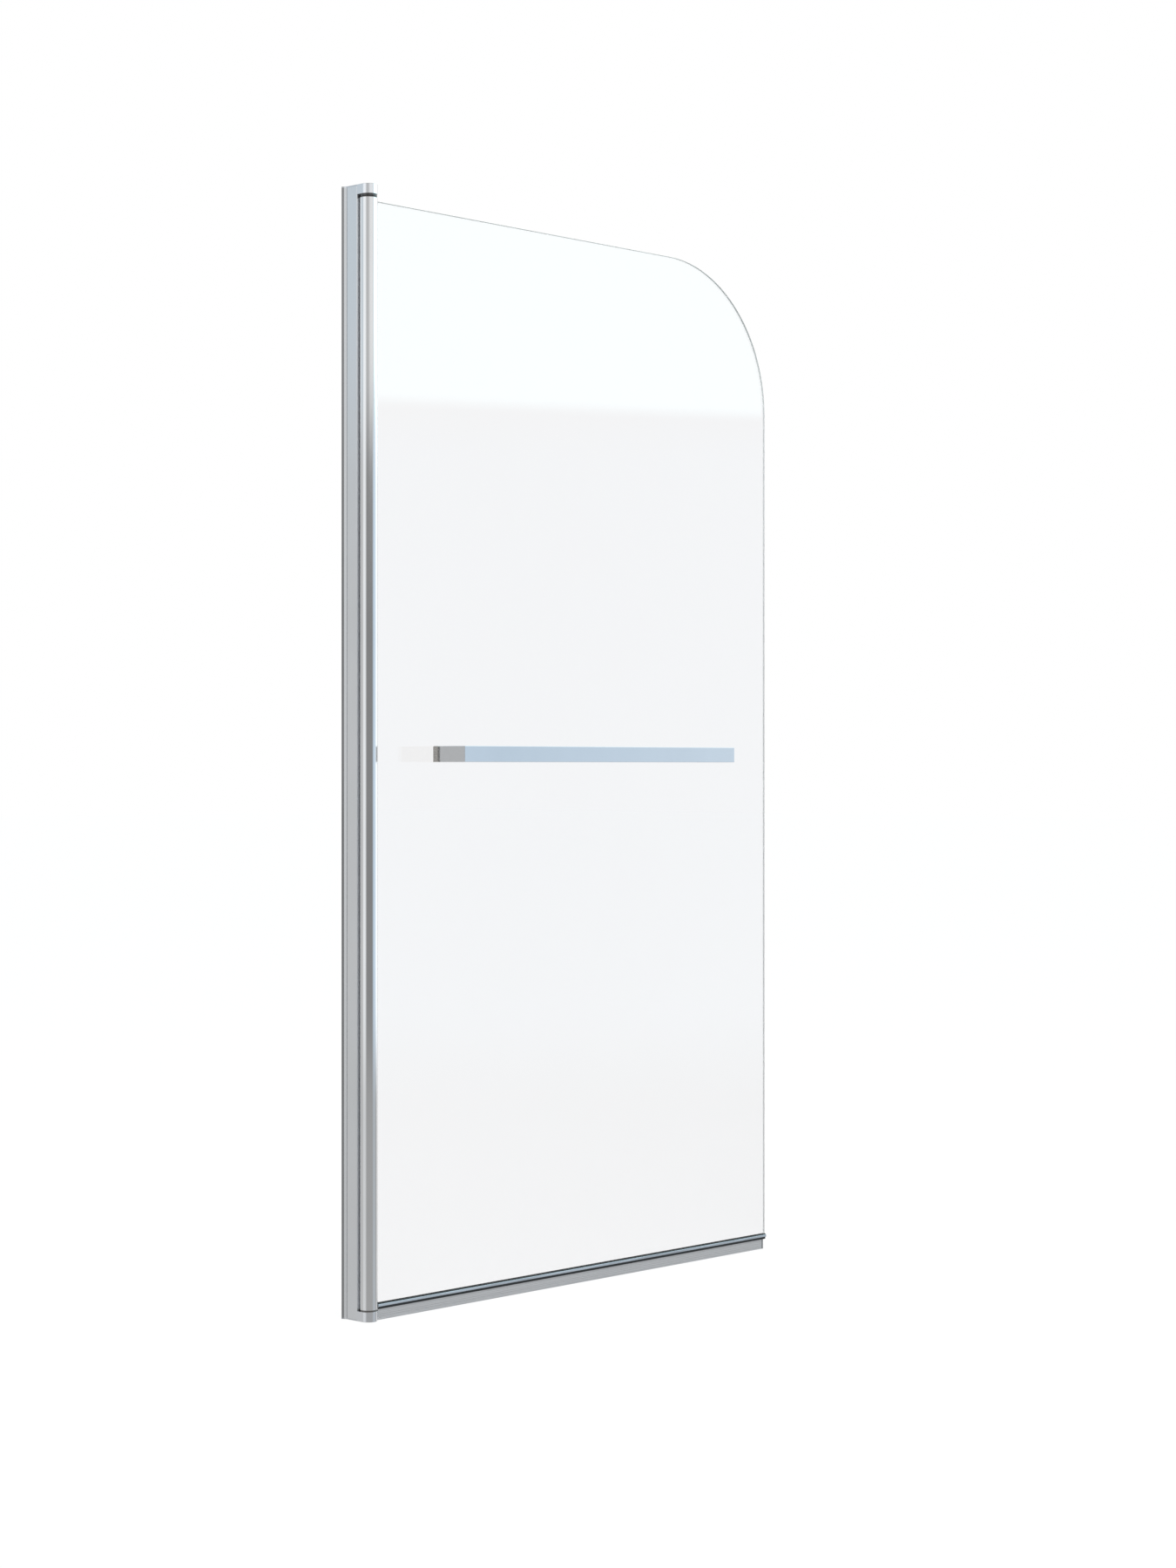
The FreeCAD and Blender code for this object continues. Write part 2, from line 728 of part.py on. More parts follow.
def glazingGasket():
    body = newBody("GlazingGasket")
    section = newSketch(body, "XY_Plane", "GasketSection", "glassBottom")
    mouth = "tubeRadius + gasketLip"
    corners = [
        ("pocketFloor", "axisY - pocketHalf"),
        (mouth, "axisY - pocketHalf"),
        (mouth, "glassFront"),
        ("glassBite", "glassFront"),
        ("glassBite", "glassBack"),
        (mouth, "glassBack"),
        (mouth, "axisY + pocketHalf"),
        ("pocketFloor", "axisY + pocketHalf"),
    ]
    outline(section, corners)
    pad(body, section, "glassTop - glassBottom")
    keep(body, "glazing_gasket")


def settingBlock():
    solid = block(
        "SettingBlock",
        "glassBite",
        "glassFront",
        "tubeBottom",
        "tubeBore - settingInset - glassBite",
        "glassThickness",
        "settingHeight",
    )
    keep(solid, "setting_block")


# Bottom seal: a rubber grip on the edge of the glass, a metal strip round it and
# a soft skirt with two fins that wipes the rim of the bath.


def mirrored(corners):
    """Adds the mirror image across the middle of the glass to half an outline."""
    image = [(f"-({across})", height) for across, height in reversed(corners)]
    return corners + image


def stripSketch(body, name, corners):
    """A closed section across the glass, from half of it. The plane's x runs towards
    the wall and its y upwards."""
    section = newSketch(body, "YZ_Plane", name, "carrierStart")
    outline(section, [(f"axisY + {x}", z) for x, z in mirrored(corners)])
    return section


def sealGrip():
    body = newBody("SealGrip")
    inner = "glassThickness / 2"
    crest = "carrierTop + lipHeight"
    corners = [
        (inner, "glassBottom"),
        (inner, crest),
        (f"({inner} + lipCrest)", crest),
        ("stripHalf", "carrierTop + lipSide"),
        ("stripHalf", "carrierTop"),
        ("gripHalf", "carrierTop"),
        ("gripHalf", "gripBottom"),
    ]
    section = stripSketch(body, "GripSection", corners)
    pad(body, section, "glassReach - carrierStart")
    keep(body, "seal_grip")


def sealCarrier():
    body = newBody("SealCarrier")
    root = "rootWidth / 2"
    corners = [
        ("gripHalf", "gripBottom"),
        ("gripHalf", "carrierTop"),
        ("(stripHalf - carrierRound)", "carrierTop"),
        ("stripHalf", "carrierTop - carrierRound"),
        ("stripHalf", "carrierBottom + carrierRound"),
        ("(stripHalf - carrierRound)", "carrierBottom"),
        (root, "carrierBottom"),
        (root, "carrierBottom + rootHeight"),
    ]
    section = stripSketch(body, "CarrierSection", corners)
    pad(body, section, "stripEnd - carrierStart")
    keep(body, "seal_carrier")


def sealSkirt():
    body = newBody("SealSkirt")
    root = "rootWidth / 2"
    shoulder = "carrierBottom - skirtShoulder"
    finTop = f"{shoulder} - beadSlope"
    corners = [
        ("(finFace - skirtFin)", shoulder),
        ("(finFace - skirtFin)", "0"),
        ("finFace", "0"),
        ("finFace", finTop),
        ("stripHalf", shoulder),
        ("stripHalf", "carrierBottom"),
        (root, "carrierBottom"),
        (root, "carrierBottom + rootHeight"),
    ]
    section = stripSketch(body, "SkirtSection", corners)
    pad(body, section, "skirtEnd - carrierStart")
    notch = newSketch(body, "XZ_Plane", "FinNotch", "axisToWall - stripHalf")
    rectangle(notch, "skirtEnd - finShort", "0", "skirtEnd", finTop)
    pocket(body, notch, "2 * stripHalf")
    keep(body, "seal_skirt")


def sealEndPlug():
    solid = block(
        "SealEndPlug",
        "glassReach",
        "axisY - gripHalf",
        "gripBottom",
        "carrierPast",
        "2 * gripHalf",
        "carrierTop - gripBottom",
    )
    keep(solid, "seal_end_plug")


# Towel rail: one square bar with two returns. Each return is locked by a grub screw
# onto a stud in a base block that is bonded to the glass.


def railEnds():
    """The left edge of each return."""
    return ["railLeft", "railRight - railThickness"]


def towelRail():
    body = newBody("TowelRail")
    plan = newSketch(body, "XY_Plane", "RailPlan", "railBottom")
    innerLeft, innerRight = "railLeft + railThickness", "railRight - railThickness"
    corners = [
        ("railLeft", "returnEnd"),
        ("railLeft", "railFront"),
        ("railRight", "railFront"),
        ("railRight", "returnEnd"),
        (innerRight, "returnEnd"),
        (innerRight, "railBack"),
        (innerLeft, "railBack"),
        (innerLeft, "returnEnd"),
    ]
    outline(plan, corners)
    pad(body, plan, "railHeight")
    breakEdges(body, "railEdge", (0, 0, 1), (0, 0, -1))
    studs = newSketch(body, "XZ_Plane", "StudHoles", "-(returnEnd)")
    grubs = newSketch(body, "XY_Plane", "GrubHoles", "railBottom")
    for edge in railEnds():
        middle = f"{edge} + railThickness / 2"
        ring(studs, middle, "railLevel", "studRadius + fitClearance")
        ring(grubs, middle, "returnEnd - studInRail / 2", "grubRadius + fitClearance")
    pocket(body, studs, "studInRail + fitClearance")
    pocket(body, grubs, "railHeight / 2")
    keep(body, "towel_rail")


def railFixings():
    pads, bases, collars, studs, grubs = [], [], [], [], []
    for number, edge in enumerate(railEnds()):
        middle = f"{edge} + railThickness / 2"
        inset, recess = "padInset", "collarInset"
        pads.append(
            block(
                f"BondPad{number}",
                f"{edge} + {inset}",
                "glassFront - padThickness",
                f"railBottom + {inset}",
                f"railThickness - 2 * {inset}",
                "padThickness",
                f"railHeight - 2 * {inset}",
            )
        )
        base = block(
            f"BaseBlock{number}",
            edge,
            "baseFront",
            "railBottom",
            "railThickness",
            "baseThickness",
            "railHeight",
        )
        collar = block(
            f"CollarBlock{number}",
            f"{edge} + {recess}",
            "returnEnd",
            f"railBottom + {recess}",
            f"railThickness - 2 * {recess}",
            "collarThickness",
            f"railHeight - 2 * {recess}",
        )
        start = "returnEnd - studInRail"
        length = "studInRail + collarThickness + studInBase"
        place = {"x": middle, "z": "railLevel", "along": "y"}
        bore = "studRadius + fitClearance"
        deep = f"{length} + fitClearance"
        inBase = cylinder(f"BaseHole{number}", bore, deep, y=start, **place)
        inCollar = cylinder(f"CollarHole{number}", bore, length, y=start, **place)
        bases.append(less(f"RailBase{number}", base, inBase))
        collars.append(less(f"RailCollar{number}", collar, inCollar))
        studs.append(
            cylinder(f"RailStud{number}", "studRadius", length, y=start, **place)
        )
        grubs.append(
            cylinder(
                f"GrubScrew{number}",
                "grubRadius",
                "railHeight / 2 - studRadius - grubRecess - fitClearance",
                x=middle,
                y="returnEnd - studInRail / 2",
                z="railBottom + grubRecess",
            )
        )
    keep(group("BondPads", pads), "rail_bond_pads")
    keep(group("RailBases", bases), "rail_bases")
    keep(group("RailCollars", collars), "rail_collars")
    keep(group("RailStuds", studs), "rail_studs")
    keep(group("GrubScrews", grubs), "rail_grub_screws")


wallChannel()
channelFixingHoles(parts[0])
hingePost()
saddleSeal()
endCap("TopCap", "top_cap", top=True)
endCap("BottomCap", "bottom_cap", top=False)
capScrews()
pivotBush("TopBush", "top_bush", top=True)
pivotBush("BottomBush", "bottom_bush", top=False)
thrustWasher()
pivotPlug("TopPivotPlug", "top_pivot_plug", top=True)
pivotPlug("BottomPivotPlug", "bottom_pivot_plug", top=False)
plugScrews()
fixingScrews()
pivotTube()
glassPanel()
glazingGasket()
settingBlock()
sealGrip()
sealCarrier()
sealSkirt()
sealEndPlug()
towelRail()
railFixings()
doc.recompute()

for thing in doc.Objects:
    if "Invalid" in thing.State or "Error" in thing.State:
        raise RuntimeError(f"{thing.Name} failed: {thing.State}")
    if thing.isDerivedFrom("Sketcher::SketchObject") and not thing.FullyConstrained:
        raise RuntimeError(f"{thing.Name} is not fully constrained")
for part in parts:
    if part.Shape.isNull() or not part.Shape.isValid():
        raise RuntimeError(f"{part.Label} has no valid shape")

os.makedirs("parts", exist_ok=True)
for part in parts:
    part.Shape.exportStep(f"parts/{part.Label}.step")
    box = part.Shape.BoundBox
    print(
        f"{part.Label}: {len(part.Shape.Solids)} solid, {part.Shape.Volume:.0f} mm3,"
        f" x {box.XMin:.1f} to {box.XMax:.1f}, y {box.YMin:.1f} to {box.YMax:.1f},"
        f" z {box.ZMin:.1f} to {box.ZMax:.1f}"
    )
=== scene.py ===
import json
import math

import bmesh
import bpy
from mathutils import Matrix, Vector

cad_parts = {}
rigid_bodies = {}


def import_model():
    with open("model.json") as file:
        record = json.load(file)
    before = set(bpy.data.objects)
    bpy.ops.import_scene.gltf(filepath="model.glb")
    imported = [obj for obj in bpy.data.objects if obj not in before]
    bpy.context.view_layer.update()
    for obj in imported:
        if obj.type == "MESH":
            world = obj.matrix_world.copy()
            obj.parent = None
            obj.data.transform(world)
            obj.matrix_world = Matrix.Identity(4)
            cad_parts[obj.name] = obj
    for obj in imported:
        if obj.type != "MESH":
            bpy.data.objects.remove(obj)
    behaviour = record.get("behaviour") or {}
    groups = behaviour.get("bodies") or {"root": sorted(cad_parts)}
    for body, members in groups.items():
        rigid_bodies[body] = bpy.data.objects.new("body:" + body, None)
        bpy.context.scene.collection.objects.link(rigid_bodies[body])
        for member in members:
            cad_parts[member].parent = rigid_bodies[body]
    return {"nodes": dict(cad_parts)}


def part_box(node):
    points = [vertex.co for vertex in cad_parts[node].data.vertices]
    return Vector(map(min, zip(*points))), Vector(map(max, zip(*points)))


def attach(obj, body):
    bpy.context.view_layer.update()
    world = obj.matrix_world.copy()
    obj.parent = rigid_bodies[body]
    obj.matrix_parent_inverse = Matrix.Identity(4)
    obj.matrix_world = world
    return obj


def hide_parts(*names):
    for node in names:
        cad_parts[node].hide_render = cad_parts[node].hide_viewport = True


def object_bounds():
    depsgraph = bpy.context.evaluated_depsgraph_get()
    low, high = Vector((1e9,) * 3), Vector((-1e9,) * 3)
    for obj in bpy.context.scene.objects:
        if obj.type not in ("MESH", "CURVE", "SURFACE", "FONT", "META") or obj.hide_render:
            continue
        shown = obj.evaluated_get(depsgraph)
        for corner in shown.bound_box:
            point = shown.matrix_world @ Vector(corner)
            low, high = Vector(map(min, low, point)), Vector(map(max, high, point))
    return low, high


for leftOver in list(bpy.data.objects):  # the default cube, lamp and camera
    bpy.data.objects.remove(leftOver)
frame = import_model()
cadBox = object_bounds()
print("frame loaded:", len(frame["nodes"]), "nodes")

photoCamera = {
    "place": (-2.430, -2.7085, 0.6839),
    "heading": 46.54,  # degrees clockwise from +Y
    "lens": 67.16,  # mm
    "sensor": 36,  # mm, on the long side
    "shiftUp": -0.0116,  # the horizon lies a little above the middle of the picture
    "farthest": 100,  # metres
}

# The room that polished metal and glass mirror, all round. Each panel has its heading in
# degrees anticlockwise from +X, its half width and the softness of its edges, also in
# degrees, its brightness low down, level with the rail and overhead, and its tint.
studioPanels = {
    "leftEnd": (108.5, 8, 8, 0.00, 0.00, 0.30, (1.0, 1.0, 1.0)),
    "leftWall": (128.5, 30, 22, 0.17, 0.33, 0.00, (1.0, 1.0, 1.0)),
    "leftHigh": (128.5, 30, 22, 0.00, 0.00, 0.14, (0.56, 1.0, 1.33)),
    "leftSoftBox": (173.5, 20, 12, 0.30, 0.62, 0.45, (0.98, 1.0, 1.02)),
    "frontRight": (-98.5, 26, 16, 0.00, 0.00, 0.33, (1.0, 1.0, 1.0)),
    "rightWall": (-55.0, 20, 14, 0.12, 0.47, 0.10, (0.80, 1.06, 1.32)),
    "rightWindow": (-12.0, 24, 10, 0.00, 0.85, 0.00, (0.92, 1.0, 1.06)),
    "behind": (25.0, 38, 12, 0.42, 0.30, 0.30, (1.0, 1.0, 1.0)),
}
highWindow = {
    "heading": -32.5,
    "half": 32,
    "soft": 8,
    "color": (0.68, 1.02, 1.06),
    "sill": (0.0273, 0.0288, 0.1211, 0.003),  # slope along X and Y, height, softness
}
studio = {
    "plainRoom": (0.40, 0.26, 0.55),  # the room between the panels: low, level, overhead
    "overheadEdge": (0.115, 0.014),  # height and softness of the edge between the zones
    "lowEdge": (-0.0980, 0.020),
    "ceiling": (0.62, 0.82, (0.32, 0.33, 0.34)),  # starts, is full, colour
    "floorLevel": (-0.35, -0.60, (0.36, 0.36, 0.36)),
    "floorDrop": 0.0004,
    "floorSize": 60.0,
    "floorSquares": 8,
    "floorColor": (0.9, 0.9, 0.9),
    "floorGlow": 0.90,  # share of the floor's white that no shadow reaches
    "floorWhite": 1.047,
    "lampPlace": (-1.6, -2.2, 3.6),
    "lampSize": 2.6,
    "lampPower": 60.0,
}


def makeCamera():
    camera = bpy.data.objects.new("photoCamera", bpy.data.cameras.new("photoCamera"))
    bpy.context.scene.collection.objects.link(camera)
    camera.location = photoCamera["place"]
    camera.rotation_euler = (math.pi / 2, 0, -math.radians(photoCamera["heading"]))
    camera.data.lens = photoCamera["lens"]
    camera.data.sensor_width = photoCamera["sensor"]
    camera.data.shift_y = photoCamera["shiftUp"]
    camera.data.clip_end = photoCamera["farthest"]
    bpy.context.scene.camera = camera


def addNode(tree, kind, **settings):
    node = tree.nodes.new(kind)
    for name, value in settings.items():
        setattr(node, name, value)
    return node


def calculate(tree, operation, first, second=None):
    node = addNode(tree, "ShaderNodeMath", operation=operation)
    for socket, value in zip(node.inputs, (first, second)):
        if isinstance(value, (int, float)):
            socket.default_value = value
        elif value is not None:
            tree.links.new(value, socket)
    return node.outputs[0]


def mixColors(tree, factor, first, second):
    node = addNode(tree, "ShaderNodeMix", data_type="RGBA")
    sockets = (node.inputs[0], node.inputs[6], node.inputs[7])  # the share and both colours
    for socket, value in zip(sockets, (factor, first, second)):
        if isinstance(value, tuple):
            socket.default_value = (*value, 1.0)
        else:
            tree.links.new(value, socket)
    return node.outputs[2]


def riseBetween(tree, value, start, full):
    rise = addNode(tree, "ShaderNodeMapRange", interpolation_type="SMOOTHSTEP")
    rise.inputs["From Min"].default_value = start
    rise.inputs["From Max"].default_value = full
    tree.links.new(value, rise.inputs["Value"])
    return rise.outputs["Result"]


def seenDirectly(tree):
    # 1 for what the camera sees, also through glass, and 0 for what a mirror or a lamp sees
    path = addNode(tree, "ShaderNodeLightPath").outputs
    seen = calculate(tree, "MAXIMUM", path["Is Camera Ray"], path["Is Transmission Ray"])
    bounces = calculate(tree, "ADD", path["Glossy Depth"], path["Diffuse Depth"])
    return calculate(tree, "MULTIPLY", seen, calculate(tree, "LESS_THAN", bounces, 0.5))


def makeWorld():
    # plain white to the camera, and the room of panels to what mirrors it
    world = bpy.data.worlds.new("studio")
    world.use_nodes = True
    bpy.context.scene.world = world
    tree = world.node_tree
    tree.nodes.clear()
    direction = addNode(tree, "ShaderNodeTexCoord").outputs["Generated"]
    parts = addNode(tree, "ShaderNodeSeparateXYZ")
    tree.links.new(direction, parts.inputs[0])
    angle = calculate(tree, "ARCTAN2", parts.outputs["Y"], parts.outputs["X"])
    degrees = calculate(tree, "MULTIPLY", angle, 180 / math.pi)
    zoneEdges = [
        riseBetween(tree, parts.outputs["Z"], height - soft, height + soft)
        for height, soft in (studio["lowEdge"], studio["overheadEdge"])
    ]

    def zones(low, middle, high):
        return mixColors(tree, zoneEdges[1], mixColors(tree, zoneEdges[0], low, middle), high)

    def addPanel(room, heading, half, soft, color):
        away = calculate(tree, "SUBTRACT", degrees, heading)
        wrapped = calculate(tree, "WRAP", away, 180.0)
        wrapped.node.inputs[2].default_value = -180.0
        amount = riseBetween(tree, calculate(tree, "ABSOLUTE", wrapped), half + soft, half - soft)
        added = addNode(tree, "ShaderNodeVectorMath", operation="MULTIPLY_ADD")
        for socket, value in zip(added.inputs, (color, amount, room)):
            tree.links.new(value, socket)
        return added.outputs["Vector"]

    room = zones(*((brightness,) * 3 for brightness in studio["plainRoom"]))
    for heading, half, soft, *levels, tint in studioPanels.values():
        color = zones(*(tuple(level * shade for shade in tint) for level in levels))
        room = addPanel(room, heading, half, soft, color)
    slopeX, slopeY, sillHeight, sillSoft = highWindow["sill"]
    tilt = addNode(tree, "ShaderNodeVectorMath", operation="DOT_PRODUCT")
    tree.links.new(direction, tilt.inputs[0])
    tilt.inputs[1].default_value = (slopeX, slopeY, 1.0)
    aboveSill = riseBetween(tree, tilt.outputs["Value"], sillHeight - sillSoft, sillHeight + sillSoft)
    color = mixColors(tree, aboveSill, (0.0, 0.0, 0.0), highWindow["color"])
    room = addPanel(room, highWindow["heading"], highWindow["half"], highWindow["soft"], color)
    for start, full, color in (studio["ceiling"], studio["floorLevel"]):
        room = mixColors(tree, riseBetween(tree, parts.outputs["Z"], start, full), room, color)
    shown = mixColors(tree, seenDirectly(tree), room, (1.0, 1.0, 1.0))
    background = addNode(tree, "ShaderNodeBackground")
    output = addNode(tree, "ShaderNodeOutputWorld")
    tree.links.new(shown, background.inputs["Color"])
    tree.links.new(background.outputs[0], output.inputs["Surface"])


def makeFloor():
    # a pale floor that only the camera sees
    bm = bmesh.new()
    squares = studio["floorSquares"]
    bmesh.ops.create_grid(bm, x_segments=squares, y_segments=squares, size=studio["floorSize"] / 2)
    bmesh.ops.translate(bm, vec=(0, 0, cadBox[0].z - studio["floorDrop"]), verts=bm.verts)
    mesh = bpy.data.meshes.new("studioFloor")
    bm.to_mesh(mesh)
    bm.free()
    floor = bpy.data.objects.new("studioFloor", mesh)
    bpy.context.scene.collection.objects.link(floor)
    material = bpy.data.materials.new("paleFloor")
    material.use_nodes = True
    tree = material.node_tree
    tree.nodes.clear()
    matt = addNode(tree, "ShaderNodeBsdfDiffuse")
    matt.inputs["Color"].default_value = (*studio["floorColor"], 1.0)
    glow = addNode(tree, "ShaderNodeEmission")
    glow.inputs["Color"].default_value = (1.0, 1.0, 1.0, 1.0)
    glow.inputs["Strength"].default_value = studio["floorWhite"]
    white = addNode(tree, "ShaderNodeMixShader")
    white.inputs[0].default_value = studio["floorGlow"]
    tree.links.new(matt.outputs[0], white.inputs[1])
    tree.links.new(glow.outputs[0], white.inputs[2])
    unseen = addNode(tree, "ShaderNodeBsdfTransparent")
    blend = addNode(tree, "ShaderNodeMixShader")
    output = addNode(tree, "ShaderNodeOutputMaterial")
    tree.links.new(seenDirectly(tree), blend.inputs[0])
    tree.links.new(unseen.outputs[0], blend.inputs[1])
    tree.links.new(white.outputs[0], blend.inputs[2])
    tree.links.new(blend.outputs[0], output.inputs["Surface"])
    mesh.materials.append(material)


def makeLamp():
    lamp = bpy.data.objects.new("softLamp", bpy.data.lights.new("softLamp", "AREA"))
    bpy.context.scene.collection.objects.link(lamp)
    lamp.data.shape = "DISK"
    lamp.data.size = studio["lampSize"]
    lamp.data.energy = studio["lampPower"]
    lamp.location = studio["lampPlace"]
    middle = (cadBox[0] + cadBox[1]) / 2
    lamp.rotation_euler = (middle - lamp.location).to_track_quat("-Z", "Y").to_euler()
    lamp.visible_camera = False
    lamp.visible_glossy = False


bpy.context.scene.view_settings.view_transform = "Standard"
makeCamera()
makeWorld()
makeFloor()
makeLamp()
print("camera, floor and light made")

# Every texture of the materials is a noise, with so many cells per metre along x, y and z.
grainCells = {
    "upright": (900, 900, 1.5),  # lines that run up the profiles
    "lengthwise": (1.5, 900, 900),  # lines that run along the bottom seal and the rail
    "fine": (700, 700, 700),
    "finest": (1400, 1400, 1400),
    "smears": (9, 9, 5),
    "dust": (30, 30, 30),
    "rollers": (3, 3, 7),
    "film": (14, 14, 11),
}
noiseLow, noiseHigh = 0.3, 0.7  # most of a noise lies between these
smearStrength = 0.25  # share by which smears change the roughness of metal
filmPaler = 1.004
glassIndex = 1.5
# painted shade: the channel's colour darkens between these places along Y, next to the wall
channelWallShade = {"between": (-0.0023, -0.0019), "color": (0.46, 0.47, 0.48)}  # places along Y


def newMaterial(name):
    material = bpy.data.materials.new(name)
    material.use_nodes = True
    tree = material.node_tree
    tree.nodes.clear()
    shader = addNode(tree, "ShaderNodeBsdfPrincipled")
    output = addNode(tree, "ShaderNodeOutputMaterial")
    tree.links.new(shader.outputs[0], output.inputs["Surface"])
    return material, tree, shader


def grain(tree, kind, detail=3.0):
    place = addNode(tree, "ShaderNodeTexCoord")
    mapping = addNode(tree, "ShaderNodeMapping")
    mapping.inputs["Scale"].default_value = grainCells[kind]
    noise = addNode(tree, "ShaderNodeTexNoise")
    noise.inputs["Scale"].default_value = 1.0
    noise.inputs["Detail"].default_value = detail
    noise.inputs["Roughness"].default_value = 0.55
    tree.links.new(place.outputs["Object"], mapping.inputs["Vector"])
    tree.links.new(mapping.outputs["Vector"], noise.inputs["Vector"])
    return noise.outputs["Fac"]


def spread(tree, source, low, high):
    reach = addNode(tree, "ShaderNodeMapRange")
    reach.inputs["From Min"].default_value = noiseLow
    reach.inputs["From Max"].default_value = noiseHigh
    reach.inputs["To Min"].default_value = low
    reach.inputs["To Max"].default_value = high
    tree.links.new(source, reach.inputs["Value"])
    return reach.outputs["Result"]


def tone(tree, source, *colors):
    ramp = addNode(tree, "ShaderNodeValToRGB")
    stops = ramp.color_ramp.elements
    while len(stops) < len(colors):
        stops.new(0.5)
    for number, color in enumerate(colors):
        share = number / (len(colors) - 1)
        stops[number].position = noiseLow + (noiseHigh - noiseLow) * share
        stops[number].color = (*color, 1.0)
    tree.links.new(source, ramp.inputs["Fac"])
    return ramp.outputs["Color"]


def shades(color, variation):
    # a darker shade, the colour itself and a paler shade
    dark = tuple(channel * (1 - variation) for channel in color)
    pale = tuple(min(1.0, channel * (1 + variation)) for channel in color)
    return dark, color, pale


def addBump(tree, source, depth, shader):
    bump = addNode(tree, "ShaderNodeBump")
    bump.inputs["Strength"].default_value = 1.0
    bump.inputs["Distance"].default_value = depth
    tree.links.new(source, bump.inputs["Height"])
    tree.links.new(bump.outputs["Normal"], shader.inputs["Normal"])


def metal(name, color, roughness, kind, depth, variation=0.03, foot=None):
    # drawn or polished metal: fine die lines along the long side, faint smears, and, where a foot is
    # given, a painted shade strip next to the wall
    material, tree, shader = newMaterial(name)
    shader.inputs["Metallic"].default_value = 1.0
    lines = grain(tree, kind)
    smears = grain(tree, "smears", detail=4.0)
    shade = tone(tree, smears, *shades(color, variation))
    # painted shade: the colour darkens next to the wall to stand in for the shade there
    if foot:
        parts = addNode(tree, "ShaderNodeSeparateXYZ")
        tree.links.new(addNode(tree, "ShaderNodeTexCoord").outputs["Object"], parts.inputs[0])
        nearWall = riseBetween(tree, parts.outputs["Y"], *foot["between"])
        shade = mixColors(tree, nearWall, shade, foot["color"])
    tree.links.new(shade, shader.inputs["Base Color"])
    streak = spread(tree, lines, *roughness)
    smear = spread(tree, smears, 1 - smearStrength, 1 + smearStrength)
    tree.links.new(calculate(tree, "MULTIPLY", streak, smear), shader.inputs["Roughness"])
    addBump(tree, lines, depth, shader)
    return material


def moulded(name, color, roughness, kind, depth, variation=0.12, shine=0.5, streaked=False):
    # plastic or rubber: a fine moulded grain, with a little dust on it or streaks along it
    material, tree, shader = newMaterial(name)
    shader.inputs["Specular IOR Level"].default_value = shine
    texture = grain(tree, kind, detail=5.0)
    patches = texture if streaked else grain(tree, "dust")
    shade = tone(tree, patches, *shades(color, variation))
    tree.links.new(shade, shader.inputs["Base Color"])
    tree.links.new(spread(tree, texture, *roughness), shader.inputs["Roughness"])
    addBump(tree, texture, depth, shader)
    return material


def glassMaterial(name, tint, roughness, wave, clearness=1.0):
    # glass or clear plastic with a faint film and roller waves, that lets lamps through
    material, tree, shader = newMaterial(name)
    shader.inputs["Transmission Weight"].default_value = clearness
    shader.inputs["IOR"].default_value = glassIndex
    rollers = grain(tree, "rollers", detail=1.0)
    film = grain(tree, "film", detail=4.0)
    pale = tuple(min(1.0, channel * filmPaler) for channel in tint)
    tree.links.new(tone(tree, film, tint, pale), shader.inputs["Base Color"])
    tree.links.new(spread(tree, film, *roughness), shader.inputs["Roughness"])
    addBump(tree, rollers, wave, shader)
    through = addNode(tree, "ShaderNodeBsdfTransparent")
    through.inputs["Color"].default_value = (*tint, 1.0)
    blend = addNode(tree, "ShaderNodeMixShader")
    path = addNode(tree, "ShaderNodeLightPath").outputs
    output = next(node for node in tree.nodes if node.type == "OUTPUT_MATERIAL")
    tree.links.new(path["Is Shadow Ray"], blend.inputs[0])
    tree.links.new(shader.outputs[0], blend.inputs[1])
    tree.links.new(through.outputs[0], blend.inputs[2])
    tree.links.new(blend.outputs[0], output.inputs["Surface"])
    return material


